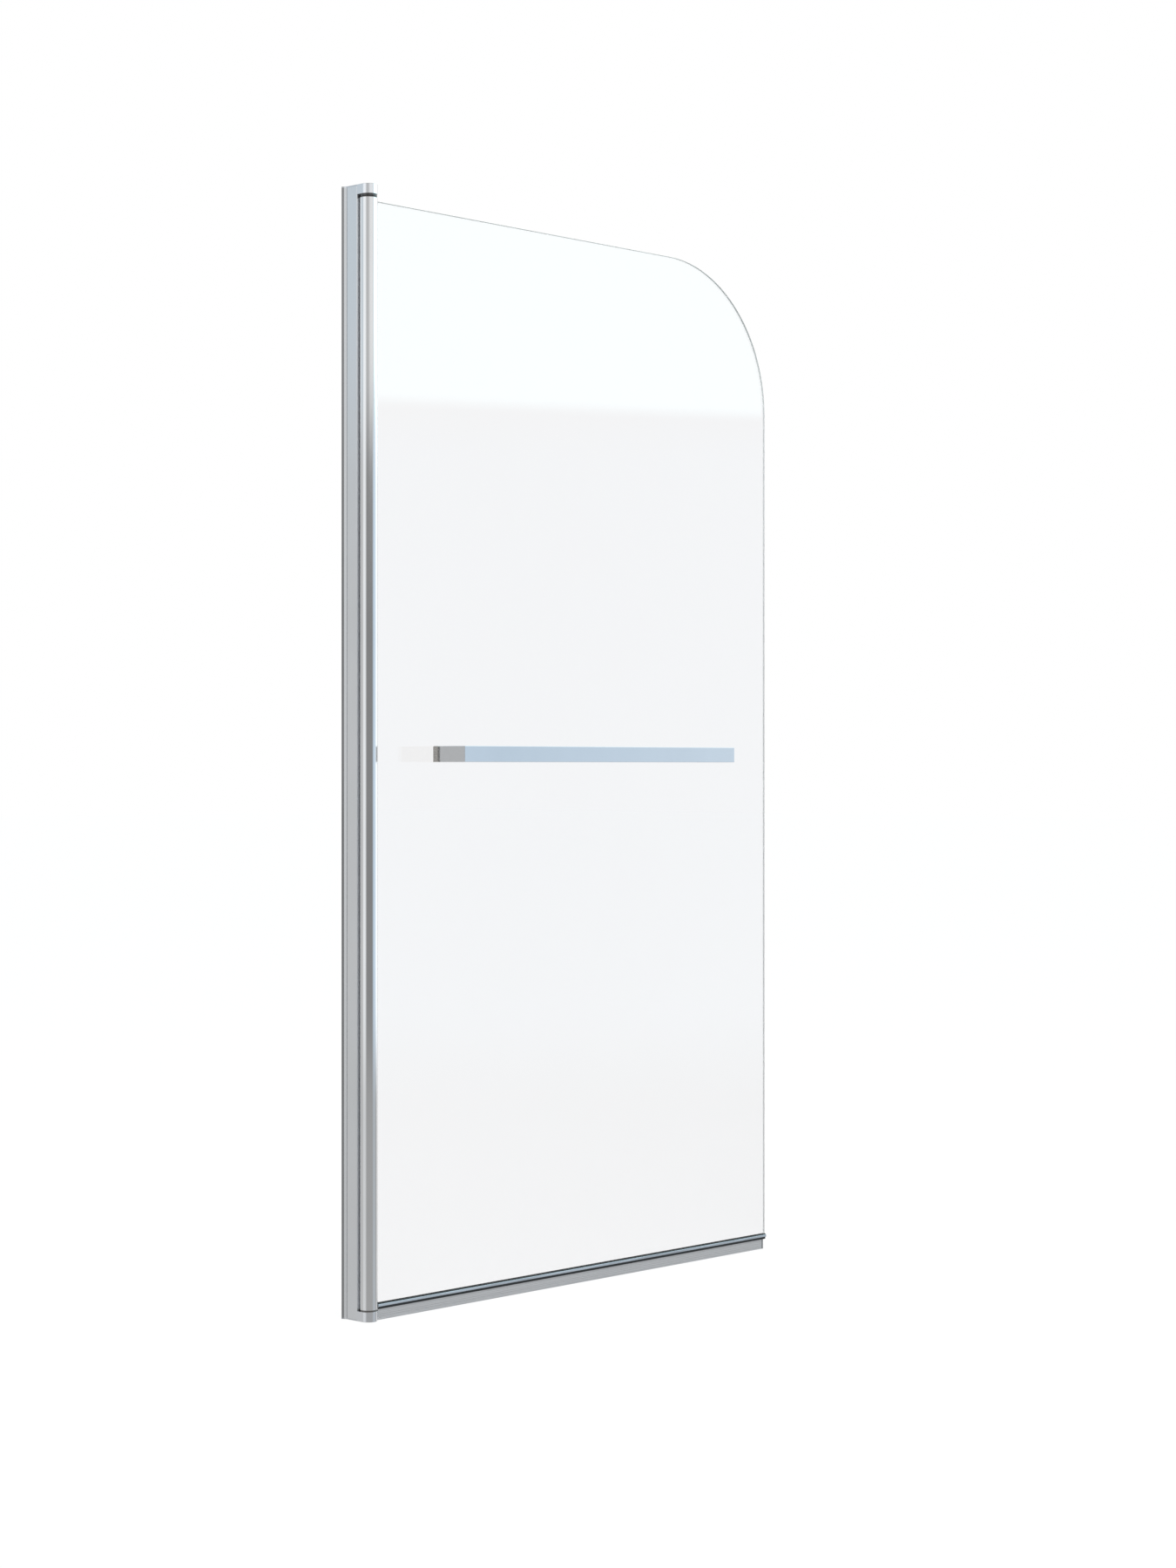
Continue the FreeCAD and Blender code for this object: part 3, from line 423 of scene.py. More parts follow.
# Each finish has its colour, its least and most roughness, its kind of grain and the
# grain's depth in metres. The clear ones have a wave's depth only.
finishes = {
    # the channel's aluminium carries a painted shade strip next to the wall
    "channelAluminium": metal(
        "channelAluminium", (0.62, 0.63, 0.64), (0.22, 0.30), "upright", 1.5e-6, foot=channelWallShade
    ),
    "postAluminium": metal("postAluminium", (0.82, 0.84, 0.86), (0.14, 0.20), "upright", 1.5e-6),
    "landAluminium": metal("landAluminium", (0.80, 0.82, 0.85), (0.48, 0.56), "upright", 2e-6),
    "tubeAluminium": metal("tubeAluminium", (0.83, 0.84, 0.85), (0.06, 0.10), "upright", 6e-7),
    "capChrome": metal("capChrome", (0.83, 0.85, 0.88), (0.05, 0.09), "fine", 3e-7),
    # painted shade: a darker copy of the cap's chrome, for the sides of the plate's rim
    "plateShadedChrome": metal("plateShadedChrome", (0.68, 0.70, 0.73), (0.10, 0.16), "fine", 1e-6),
    "railChrome": metal("railChrome", (0.79, 0.81, 0.83), (0.05, 0.09), "lengthwise", 3e-7),
    "baseMetal": metal("baseMetal", (0.56, 0.54, 0.51), (0.22, 0.32), "fine", 2e-6),
    "stripAluminium": metal(
        "stripAluminium", (0.62, 0.66, 0.71), (0.20, 0.30), "lengthwise", 3e-6, variation=0.10
    ),
    "screwSteel": metal("screwSteel", (0.62, 0.62, 0.63), (0.22, 0.34), "fine", 3e-6),
    "zincBlack": metal("zincBlack", (0.20, 0.196, 0.192), (0.35, 0.50), "fine", 3e-6),
    "blackRubber": moulded(
        "blackRubber", (0.013, 0.014, 0.016), (0.42, 0.58), "lengthwise", 5e-6, shine=0.45
    ),
    "blackPlastic": moulded(
        "blackPlastic", (0.012, 0.012, 0.013), (0.35, 0.50), "finest", 3e-6, shine=0.35
    ),
    "ringPlastic": moulded(
        "ringPlastic", (0.012, 0.012, 0.014), (0.10, 0.18), "fine", 1e-6, shine=1.0
    ),
    "washerNylon": moulded(
        "washerNylon", (0.19, 0.182, 0.176), (0.22, 0.34), "fine", 3e-6, shine=0.8
    ),
    "collarPlastic": moulded("collarPlastic", (0.36, 0.36, 0.36), (0.35, 0.50), "fine", 3e-6),
    "greyPvc": moulded(
        "greyPvc", (0.56, 0.545, 0.555), (0.30, 0.45), "lengthwise", 8e-6, streaked=True
    ),
    # painted shadow: a dark grey PVC for the free end of the skirt's fins
    "shadedEndPvc": moulded("shadedEndPvc", (0.22, 0.22, 0.23), (0.35, 0.50), "fine", 4e-6),
    "whiteNylon": moulded(
        "whiteNylon", (0.78, 0.78, 0.75), (0.35, 0.5), "fine", 2e-6, variation=0.04
    ),
    "coverPlastic": moulded(
        "coverPlastic", (0.50, 0.52, 0.54), (0.18, 0.28), "fine", 1.5e-6, variation=0.04
    ),
    "bondPad": moulded("bondPad", (0.62, 0.64, 0.64), (0.4, 0.6), "fine", 3e-6, variation=0.05),
    "clearGlass": glassMaterial("clearGlass", (0.938, 0.936, 0.940), (0.0, 0.004), 4e-6),
    "glassEdge": glassMaterial("glassEdge", (0.88, 0.91, 0.90), (0.18, 0.30), 1e-6, clearness=0.6),
    "clearPvc": glassMaterial("clearPvc", (0.86, 0.88, 0.89), (0.12, 0.22), 1e-6),
}
print("materials made:", len(finishes))

weld = 1e-7  # points closer than this, in metres, are joined
near = 1e-6  # places closer than this count as one
slack = 1e-5  # room for rounding where faces are told apart by their places
sharpAngle = 30  # degrees: edges that fold more than this stay sharp
mostly = 0.9  # a normal with this much of a direction faces that way


def point(bm, x, y, z):
    return bm.verts.new((x, y, z))


def chain(bm, points):
    # joins points by straight edges
    for start, end in zip(points, points[1:]):
        bm.edges.new((start, end))


def arc(bm, start, centre, axis, degrees, steps):
    # an arc of edges from a point, and the point at its end
    swept = bmesh.ops.spin(
        bm, geom=[start], cent=centre, axis=axis, angle=math.radians(degrees), steps=steps,
        use_duplicate=False,
    )
    return next(item for item in swept["geom_last"] if isinstance(item, bmesh.types.BMVert))


def fillOutline(bm):
    bmesh.ops.remove_doubles(bm, verts=bm.verts, dist=weld)
    bmesh.ops.edgeloop_fill(bm, edges=bm.edges)


def roundCorners(bm, places, radius, steps):
    # rounds the corners of a flat outline that lie at the places
    corners = [
        vert for vert in bm.verts if any((vert.co - Vector(place)).length < near for place in places)
    ]
    bmesh.ops.bevel(
        bm, geom=corners, offset=radius, segments=steps, profile=0.5, affect="VERTICES", material=-1
    )


def splitAt(bm, place, normal):
    # new edges where a plane crosses the shape
    everything = bm.verts[:] + bm.edges[:] + bm.faces[:]
    bmesh.ops.bisect_plane(bm, geom=everything, plane_co=place, plane_no=normal)


def extrude(bm, faces, vector):
    # with their edges given too, faces that lie on a solid aren't left behind inside it
    edges = list({edge for face in faces for edge in face.edges})
    made = bmesh.ops.extrude_face_region(bm, geom=faces + edges)["geom"]
    moved = [item for item in made if isinstance(item, bmesh.types.BMVert)]
    bmesh.ops.translate(bm, vec=vector, verts=moved)
    return [item for item in made if isinstance(item, bmesh.types.BMFace)]


def bevelEdges(bm, edges, width, steps=2):
    bmesh.ops.bevel(
        bm, geom=edges, offset=width, segments=steps, profile=0.5, affect="EDGES", material=-1,
        offset_type="OFFSET", clamp_overlap=True,
    )


def sharpEdges(bm, chosen=lambda edge: True):
    bmesh.ops.recalc_face_normals(bm, faces=bm.faces)
    return [
        edge
        for edge in bm.edges
        if len(edge.link_faces) == 2
        and edge.calc_face_angle() > math.radians(sharpAngle)
        and chosen(edge)
    ]


def middleOf(edge):
    return (edge.verts[0].co + edge.verts[1].co) / 2


def turn(bm, profile, x, y, steps):
    # turns a profile of (radius, z) about an upright axis. It is closed first, unless it
    # starts or ends on the axis.
    line = [point(bm, x + radius, y, z) for radius, z in profile]
    edges = [bm.edges.new(pair) for pair in zip(line, line[1:])]
    if min(profile[0][0], profile[-1][0]) > 0:
        edges.append(bm.edges.new((line[-1], line[0])))
    bmesh.ops.spin(
        bm, geom=line + edges, cent=(x, y, 0), axis=(0, 0, 1), angle=2 * math.pi, steps=steps,
        use_merge=True, use_duplicate=False,
    )
    bmesh.ops.remove_doubles(bm, verts=bm.verts, dist=weld)


def addBlock(bm, low, high, bevel=0.0, steps=2):
    size = Vector(high) - Vector(low)
    middle = (Vector(high) + Vector(low)) / 2
    matrix = Matrix.Translation(middle) @ Matrix.Diagonal((*size, 1.0))
    verts = bmesh.ops.create_cube(bm, size=1.0, matrix=matrix)["verts"]
    if bevel:
        edges = list({edge for vert in verts for edge in vert.link_edges})
        bevelEdges(bm, edges, bevel, steps)


def addCylinder(bm, radius, depth, matrix, steps):
    made = bmesh.ops.create_cone(
        bm, cap_ends=True, segments=steps, radius1=radius, radius2=radius, depth=depth, matrix=matrix
    )
    return made["verts"]


def finishPiece(name, bm, body, materials, replaced, sharp=sharpAngle, paint=None):
    # turns a bmesh into a piece of the screen that rides on a body
    bmesh.ops.remove_doubles(bm, verts=bm.verts, dist=weld)
    bmesh.ops.recalc_face_normals(bm, faces=bm.faces)
    if paint:
        for face in bm.faces:
            face.material_index = paint(face)
    for face in bm.faces:
        face.smooth = True
    mesh = bpy.data.meshes.new(name)
    bm.to_mesh(mesh)
    bm.free()
    mesh.set_sharp_from_angle(angle=math.radians(sharp))
    for material in materials:
        mesh.materials.append(finishes[material])
    piece = bpy.data.objects.new(name, mesh)
    bpy.context.scene.collection.objects.link(piece)
    even = piece.modifiers.new("evenShading", "WEIGHTED_NORMAL")  # flat faces look flat
    even.keep_sharp = True
    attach(piece, body)
    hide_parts(*replaced)
    return piece


def carve(piece, cutter, sharp=sharpAngle):
    # cuts the shape in a bmesh out of a piece
    bmesh.ops.recalc_face_normals(cutter, faces=cutter.faces)
    mesh = bpy.data.meshes.new("cutter")
    cutter.to_mesh(mesh)
    cutter.free()
    tool = bpy.data.objects.new("cutter", mesh)
    bpy.context.scene.collection.objects.link(tool)
    even = piece.modifiers["evenShading"]
    even.show_viewport = False
    cut = piece.modifiers.new("carve", "BOOLEAN")
    cut.object = tool
    cut.solver = "EXACT"
    bpy.context.view_layer.update()
    graph = bpy.context.evaluated_depsgraph_get()
    carved = bpy.data.meshes.new_from_object(piece.evaluated_get(graph))
    carved.set_sharp_from_angle(angle=math.radians(sharp))
    piece.modifiers.remove(cut)
    even.show_viewport = True
    piece.data = carved
    bpy.data.objects.remove(tool)


tubeLow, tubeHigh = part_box("pivot_tube")
postLow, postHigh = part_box("hinge_post")
bushLow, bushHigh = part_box("bottom_bush")
tubeRadius = (tubeHigh.y - tubeLow.y) / 2
axisY = (tubeHigh.y + tubeLow.y) / 2

post = {
    "hollowRadius": tubeRadius + 0.002,
    "wall": 0.0015,
    "web": 0.0015,
    "landRound": 0.001,  # the lands are the flat strips on both sides of the tube
    "landSteps": 6,
    "lip": 0.0022,  # each land's lip reaches this much further in, close to the tube
    "lipThickness": 0.0008,
    "rearReach": 0.00023,  # up to the shoulders of the channel
    "edgeRound": 0.0001,
    "edgeSteps": 3,
    "hollowSteps": 40,
    "sharp": 25,
}


def makeHingePost():
    # a box open to the wall, with a round hollow in front for the tube and a web behind it
    bm = bmesh.new()
    landY, side, rear, z = postLow.y, postHigh.x, postHigh.y + post["rearReach"], postLow.z
    lipX = math.sqrt(post["hollowRadius"] ** 2 - (landY - axisY) ** 2) - post["lip"]
    lipY = landY + post["lipThickness"]
    hollowX = math.sqrt(post["hollowRadius"] ** 2 - (lipY - axisY) ** 2)
    webY = axisY + post["hollowRadius"] + post["web"]
    inner = side - post["wall"]
    span = 2 * math.degrees(math.atan2(hollowX, lipY - axisY))
    start = point(bm, hollowX, lipY, z)
    end = arc(bm, start, (0, axisY, z), (0, 0, 1), span, post["hollowSteps"])
    rest = [(-lipX, lipY), (-lipX, landY), (-side, landY), (-side, rear)]
    rest += [(-inner, rear), (-inner, webY)]
    rest += [(-x, y) for x, y in reversed(rest)]
    chain(bm, [end, *(point(bm, x, y, z) for x, y in rest), start])
    fillOutline(bm)
    roundCorners(bm, [(side, landY, z), (-side, landY, z)], post["landRound"], post["landSteps"])
    soft = [(x, rear, z) for x in (side, -side, inner, -inner)]
    soft += [(lipX, landY, z), (-lipX, landY, z)]
    roundCorners(bm, soft, post["edgeRound"], post["edgeSteps"])
    extrude(bm, bm.faces[:], (0, 0, postHigh.z - postLow.z))

    def paint(item):
        # the lands, their lips and the hollow face the tube and are left matt
        middle = item.calc_center_median()
        onLand = middle.y < lipY + slack and abs(middle.x) < side - post["landRound"] + slack
        fromAxis = math.hypot(middle.x, middle.y - axisY)
        return int(onLand or fromAxis < post["hollowRadius"] + slack)

    finishPiece(
        "hingePost", bm, "wall_side", ["postAluminium", "landAluminium"], ["hinge_post"],
        sharp=post["sharp"], paint=paint,
    )


screw = {
    "shank": 0.0017,
    "head": 0.0031,
    "headDepth": 0.0012,
    "length": 0.018,
    "socket": 0.0011,
    "socketDepth": 0.0009,
    "rim": 0.0002,
    "spacing": 0.0084,
    "webToPort": 0.0021,
    "steps": 48,
    "holeSteps": 40,
}
portY = axisY + post["hollowRadius"] + post["web"] + screw["webToPort"]
screwPlaces = [(side * screw["spacing"] / 2, portY) for side in (-1, 1)]


def makeCapScrews():
    # countersunk screws with a hexagon socket, two in each cap
    low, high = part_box("cap_screws")
    bm = bmesh.new()
    profile = [(screw["head"] - screw["rim"], 0.0), (screw["head"], screw["rim"])]
    profile += [(screw["shank"], screw["headDepth"]), (screw["shank"], screw["length"])]
    profile += [(0, screw["length"])]
    for face, inward in ((low.z, 1), (high.z, -1)):
        for x, y in screwPlaces:
            line = [(radius, face + inward * height) for radius, height in profile]
            turn(bm, line, x, y, screw["steps"])
            rimEdges = [edge for edge in bm.edges if edge.is_boundary]
            spot = Matrix.Translation((x, y, face))
            hexagon = bmesh.ops.create_circle(bm, segments=6, radius=screw["socket"], matrix=spot)
            hexEdges = list({edge for vert in hexagon["verts"] for edge in vert.link_edges})
            bmesh.ops.bridge_loops(bm, edges=rimEdges + hexEdges)
            walls = bmesh.ops.extrude_edge_only(bm, edges=hexEdges)["geom"]
            moved = [item for item in walls if isinstance(item, bmesh.types.BMVert)]
            bmesh.ops.translate(bm, vec=(0, 0, inward * screw["socketDepth"]), verts=moved)
            floor = [edge for edge in bm.edges if edge.is_boundary]
            bmesh.ops.contextual_create(bm, geom=floor)
    finishPiece("capScrews", bm, "wall_side", ["screwSteel"], ["cap_screws"])


cap = {
    "plate": 0.0018,
    "flange": 0.0021,  # the slanted edge at the wall
    "shoulder": 0.00575,  # the plate widens this far from the wall
    "edge": 0.0005,
    "edgeSteps": 3,
    "softEdge": 0.00015,
    "arcSteps": 48,
    "gap": 0.00005,  # round the screws and the bush
    "boreSteps": 96,
}


def makeCap(name, node, top):
    # a round boss in line with the tube, in one piece with a plate over the profile's end
    low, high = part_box(node)
    face = high.z if top else low.z
    inward = -1 if top else 1
    seam = face + inward * (high.z - low.z)
    boss = postHigh.x
    bm = bmesh.new()
    start = point(bm, boss, axisY, face)
    end = arc(bm, start, (0, axisY, face), (0, 0, 1), -180, cap["arcSteps"])
    foot = (low.x + cap["flange"], high.y - cap["flange"])
    rest = [(-boss, high.y - cap["shoulder"]), foot, (low.x, high.y)]
    rest += [(-x, y) for x, y in reversed(rest)]
    chain(bm, [end, *(point(bm, x, y, face) for x, y in rest), start])
    fillOutline(bm)
    splitAt(bm, (0, postLow.y, face), (0, 1, 0))
    inner = extrude(bm, bm.faces[:], (0, 0, inward * cap["plate"]))
    bossFaces = [item for item in inner if item.calc_center_median().y < postLow.y]
    extrude(bm, bossFaces, (0, 0, inward * (high.z - low.z - cap["plate"])))

    def onFace(edge):
        # all round the outer face, except along the wall
        middle = middleOf(edge)
        return abs(middle.z - face) < near and middle.y < high.y - near

    def onSeam(edge):
        return abs(middleOf(edge).z - seam) < near

    def paint(item):
        # painted shade: the side faces of the plate's rim get a darker copy of the boss's chrome
        middle = item.calc_center_median()
        onRim = abs(middle.z - face) < cap["plate"] - slack and middle.y > postLow.y + slack
        return int(onRim and abs(item.normal.z) < mostly)

    bevelEdges(bm, sharpEdges(bm, onFace), cap["edge"], cap["edgeSteps"])
    bevelEdges(bm, sharpEdges(bm, onSeam), cap["softEdge"])
    piece = finishPiece(
        name, bm, "wall_side", ["capChrome", "plateShadedChrome"], [node], paint=paint
    )
    cutter = bmesh.new()
    for x, y in screwPlaces:
        addScrewHole(cutter, x, y, face, inward)
    bushSeat = (bushHigh.y - bushLow.y) / 2 + cap["gap"]
    seatDepth = bushHigh.z - bushLow.z + cap["gap"]
    spot = Matrix.Translation((0, axisY, seam))
    addCylinder(cutter, bushSeat, 2 * seatDepth, spot, cap["boreSteps"])
    carve(piece, cutter)


def addScrewHole(bm, x, y, face, inward):
    # the shape of a screw and the gap round it, with its head at the height of the face
    gap = cap["gap"]
    head, shank = screw["head"] + gap, screw["shank"] + gap
    profile = [(0, -gap), (head, -gap), (head, 0.0), (shank, screw["headDepth"])]
    profile += [(shank, screw["length"] + gap), (0, screw["length"] + gap)]
    line = [(radius, face + inward * height) for radius, height in profile]
    turn(bm, line, x, y, screw["holeSteps"])


ring = {"bore": 0.00305, "sleeve": 0.0048, "flange": 0.003, "edge": 0.0003, "steps": 96}


def makeTopBush():
    low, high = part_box("top_bush")
    radius, edge, bore = (high.x - low.x) / 2, ring["edge"], ring["bore"]
    flangeTop = low.z + ring["flange"]
    bm = bmesh.new()
    profile = [(bore, low.z), (radius - edge, low.z), (radius, low.z + edge), (radius, flangeTop)]
    profile += [(ring["sleeve"], flangeTop), (ring["sleeve"], high.z), (bore, high.z)]
    turn(bm, profile, 0, axisY, ring["steps"])
    finishPiece("topBush", bm, "wall_side", ["ringPlastic"], ["top_bush"])


def makeThrustWasher():
    low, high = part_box("thrust_washer")
    radius, edge, bore = (high.x - low.x) / 2, ring["edge"], ring["bore"]
    bm = bmesh.new()
    profile = [(bore, low.z), (radius, low.z), (radius, high.z - edge)]
    profile += [(radius - edge, high.z), (bore, high.z)]
    turn(bm, profile, 0, axisY, ring["steps"])
    finishPiece("thrustWasher", bm, "wall_side", ["washerNylon"], ["thrust_washer"])


cover = {"wall": 0.0006, "round": 0.0011, "roundSteps": 5, "steps": 48, "count": 3}


def makeScrewCovers():
    # round cups, open towards the post
    low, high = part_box("screw_covers")
    radius, height = (high.y - low.y) / 2, high.x - low.x
    pitch = (high.z - low.z - 2 * radius) / (cover["count"] - 1)
    bm = bmesh.new()
    for number in range(cover["count"]):
        middle = ((low.x + high.x) / 2, (low.y + high.y) / 2, low.z + radius + number * pitch)
        spot = Matrix.Translation(middle) @ Matrix.Rotation(math.pi / 2, 4, "Y")
        verts = addCylinder(bm, radius, height, spot, cover["steps"])
        faces = list({face for vert in verts for face in vert.link_faces})
        back = [face for face in faces if all(abs(vert.co.x - low.x) < near for vert in face.verts)]
        bmesh.ops.inset_region(bm, faces=back, thickness=cover["wall"], use_even_offset=True)
        extrude(bm, back, (height - cover["wall"], 0, 0))
    outer = sharpEdges(bm, lambda edge: abs(middleOf(edge).x - high.x) < near)
    bevelEdges(bm, outer, cover["round"], cover["roundSteps"])
    finishPiece("screwCovers", bm, "wall_side", ["coverPlastic"], ["screw_covers"])


saddle = {"nose": 0.0009, "noseSteps": 4}


def makeSaddleSeal():
    # a strip with a rounded nose that reaches towards the turning tube
    low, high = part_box("saddle_seal")
    bm = bmesh.new()
    addBlock(bm, low, high)

    def onNose(edge):
        # the two long edges on the tube's side
        middle = middleOf(edge)
        return abs(middle.y - low.y) < near and abs(middle.x) > slack

    bevelEdges(bm, sharpEdges(bm, onNose), saddle["nose"], saddle["noseSteps"])
    finishPiece("saddleSeal", bm, "wall_side", ["blackRubber"], ["saddle_seal"])


makeHingePost()
makeCap("topCap", "top_cap", top=True)
makeCap("bottomCap", "bottom_cap", top=False)
makeCapScrews()
makeTopBush()
makeThrustWasher()
makeScrewCovers()
makeSaddleSeal()
print("wall side made")

tube = {
    "pocket": 0.008,
    "pocketFloor": 0.0042,
    "edge": 0.0003,
    "plainMouth": 0.0001,  # the edges this close to the pocket's mouth have no bevel
    "steps": 120,
    "sharp": 25,
}


def makePivotTube():
    # a round tube with a pocket along its side for the glass
    bm = bmesh.new()
    half, z = tube["pocket"] / 2, tubeLow.z
    lipX = math.sqrt(tubeRadius**2 - half**2)
    around = 360 - 2 * math.degrees(math.asin(half / tubeRadius))
    start = point(bm, lipX, axisY + half, z)
    end = arc(bm, start, (0, axisY, z), (0, 0, 1), around, tube["steps"])
    floor = [point(bm, tube["pocketFloor"], axisY + side * half, z) for side in (-1, 1)]
    chain(bm, [end, *floor, start])
    fillOutline(bm)
    extrude(bm, bm.faces[:], (0, 0, tubeHigh.z - tubeLow.z))

    def onRim(edge):
        # round both ends, except beside the pocket's mouth
        level = abs(edge.verts[0].co.z - edge.verts[1].co.z) < near
        return level and middleOf(edge).x < lipX - tube["plainMouth"]

    bevelEdges(bm, sharpEdges(bm, onRim), tube["edge"])
    finishPiece(
        "pivotTube", bm, "screen", ["tubeAluminium"], ["pivot_tube"],
        sharp=tube["sharp"],
    )


glassLow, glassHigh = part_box("glass_panel")
glass = {"corner": 0.2, "cornerSteps": 72, "arris": 0.0006, "sharp": 25, "flat": 0.999}


def makeGlassPanel():
    bm = bmesh.new()
    y = glassHigh.y
    centre = (glassHigh.x - glass["corner"], y, glassHigh.z - glass["corner"])
    start = point(bm, glassHigh.x, y, centre[2])
    end = arc(bm, start, centre, (0, 1, 0), -90, glass["cornerSteps"])
    rest = [(glassLow.x, glassHigh.z), (glassLow.x, glassLow.z), (glassHigh.x, glassLow.z)]
    chain(bm, [end, *(point(bm, x, y, z) for x, z in rest), start])
    fillOutline(bm)
    extrude(bm, bm.faces[:], (0, glassLow.y - glassHigh.y, 0))
    around = sharpEdges(bm, lambda edge: any(abs(face.normal.y) > mostly for face in edge.link_faces))
    bevelEdges(bm, around, glass["arris"])
    finishPiece(
        "glassPanel", bm, "screen", ["clearGlass", "glassEdge"], ["glass_panel"],
        sharp=glass["sharp"], paint=lambda face: int(abs(face.normal.y) < glass["flat"]),
    )


gasket = {"gap": 0.00005, "floor": 0.0006, "lipRound": 0.0004, "lipSteps": 4}


def makeGlazingGasket():
    # a channel round the glass's edge, with a rounded lip on each side
    low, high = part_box("glazing_gasket")
    gap = gasket["gap"]
    bm = bmesh.new()
    front, back = glassLow.y - gap, glassHigh.y + gap
    floor = low.x + gasket["floor"] - gap
    corners = [(low.x, low.y), (high.x, low.y), (high.x, front), (floor, front)]
    corners += [(floor, back), (high.x, back), (high.x, high.y), (low.x, high.y)]
    verts = [point(bm, x, y, low.z) for x, y in corners]
    chain(bm, verts + verts[:1])
    fillOutline(bm)
    lips = [(high.x, low.y, low.z), (high.x, high.y, low.z)]
    roundCorners(bm, lips, gasket["lipRound"], gasket["lipSteps"])
    extrude(bm, bm.faces[:], (0, 0, high.z - low.z))
    finishPiece("glazingGasket", bm, "screen", ["clearPvc"], ["glazing_gasket"])


carrierLow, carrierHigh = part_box("seal_carrier")
gripLow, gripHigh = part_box("seal_grip")
skirtLow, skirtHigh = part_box("seal_skirt")
stripHalf = (carrierHigh.y - carrierLow.y) / 2
seal = {
    "gap": 0.00005,
    "carrierWall": 0.001,
    "carrierRound": 0.0006,
    "lipCrest": 0.0007,
    "lipSide": 0.0005,
    "lipRound": 0.0004,
    "root": 0.002,  # width of the skirt's root, in the slot of the strip
    "rootHeight": 0.0006,
    "bead": 0.0022,
    "beadSlope": 0.0005,
    "beadRound": 0.0005,
    "roundSteps": 4,
    "fin": 0.0014,
    "finInset": 0.0009,  # the fins stand this far inside the strip's faces
    "streaks": 6,
    "streakDepth": 0.00018,
    "streakShare": 0.35,  # the share of a streak's height that slopes
    "finShort": 0.0041,  # the fins end this far before the bead does
    "shadedEndLength": 0.003,  # length of their end that is painted darker as shadow
    "plugEdge": 0.0003,
    "sharp": 12,
}


def extrudeStrip(half, startX, endX, radius, corners):
    # half an outline (distance from the glass's middle, height), mirrored, with some of its
    # corners rounded, along the seal
    bm = bmesh.new()
    outline = half + [(-across, height) for across, height in reversed(half)]
    verts = [point(bm, startX, axisY + across, height) for across, height in outline]
    chain(bm, verts + verts[:1])
    fillOutline(bm)
    for side in (-1, 1):
        places = [(startX, axisY + side * across, height) for across, height in corners]
        roundCorners(bm, places, radius, seal["roundSteps"])
    extrude(bm, bm.faces[:], (endX - startX, 0, 0))
    return bm


def makeSealGrip():
    # two rubber lips that hold the glass, each with a crest over the edge of the strip
    inner = (glassHigh.y - glassLow.y) / 2 + seal["gap"]
    outer = stripHalf - seal["carrierWall"]
    crest = (inner + seal["lipCrest"], gripHigh.z)
    side = (stripHalf, carrierHigh.z + seal["lipSide"])
    half = [(inner, glassLow.z - seal["gap"]), (inner, gripHigh.z), crest, side]
    half += [(stripHalf, carrierHigh.z), (outer, carrierHigh.z), (outer, gripLow.z)]
    bm = extrudeStrip(half, gripLow.x, gripHigh.x, seal["lipRound"], [crest, side])
    finishPiece("sealGrip", bm, "screen", ["blackRubber"], ["seal_grip"])


def makeSealCarrier():
    # a metal channel round the grip, with a slot below for the skirt's root
    inner, root = stripHalf - seal["carrierWall"], seal["root"] / 2
    top, bottom = carrierHigh.z, carrierLow.z
    half = [(inner, gripLow.z), (inner, top), (stripHalf, top), (stripHalf, bottom)]
    half += [(root, bottom), (root, bottom + seal["rootHeight"])]
    corners = [(stripHalf, top), (stripHalf, bottom)]
    bm = extrudeStrip(half, carrierLow.x, carrierHigh.x, seal["carrierRound"], corners)
    finishPiece("sealCarrier", bm, "screen", ["stripAluminium"], ["seal_carrier"])


def makeSealSkirt():
    # a bead under the strip, painted in black rubber as the shadow under the strip, and two grey fins
    # with shallow streaks along them, with a painted shadow at their free end
    face = stripHalf - seal["finInset"]
    inner, root = face - seal["fin"], seal["root"] / 2
    ceiling = skirtHigh.z - seal["rootHeight"]
    shoulder = skirtHigh.z - seal["rootHeight"] - seal["bead"]
    finTop = shoulder - seal["beadSlope"]
    pitch = finTop / seal["streaks"]
    half = [(inner, shoulder), (inner, 0.0)]
    for number in range(seal["streaks"]):
        low = number * pitch
        depth = 0.0 if number == 0 else seal["streakDepth"]
        half += [(face - depth, low), (face, low + seal["streakShare"] * pitch)]
    half += [(face, finTop), (stripHalf, shoulder), (stripHalf, ceiling)]
    half += [(root, ceiling), (root, skirtHigh.z)]
    bm = extrudeStrip(half, skirtLow.x, skirtHigh.x, seal["beadRound"], [(stripHalf, shoulder)])
    finEnd = skirtHigh.x - seal["finShort"]
    # painted shadow: the fins are split here so that their last stretch can be painted darker
    shadedEndStart = finEnd - seal["shadedEndLength"]
    splitAt(bm, (shadedEndStart, 0, 0), (1, 0, 0))

    def paint(item):
        # the bead is painted black as the shadow under the strip, and the fins get a painted shadow
        # at their free end
        middle = item.calc_center_median()
        if middle.z > finTop:
            return 1
        return 2 if middle.x > shadedEndStart else 0

    piece = finishPiece(
        "sealSkirt", bm, "screen", ["greyPvc", "blackRubber", "shadedEndPvc"], ["seal_skirt"],
        sharp=seal["sharp"], paint=paint,
    )
    notch = bmesh.new()
    past = seal["finShort"]
    low = (finEnd, axisY - stripHalf - past, -past)
    addBlock(notch, low, (skirtHigh.x + past, axisY + stripHalf + past, finTop))
    carve(piece, notch, seal["sharp"])


def makeSealEndPlug():
    low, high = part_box("seal_end_plug")
    bm = bmesh.new()
    addBlock(bm, low, high, seal["plugEdge"])
    finishPiece("sealEndPlug", bm, "screen", ["blackRubber"], ["seal_end_plug"])


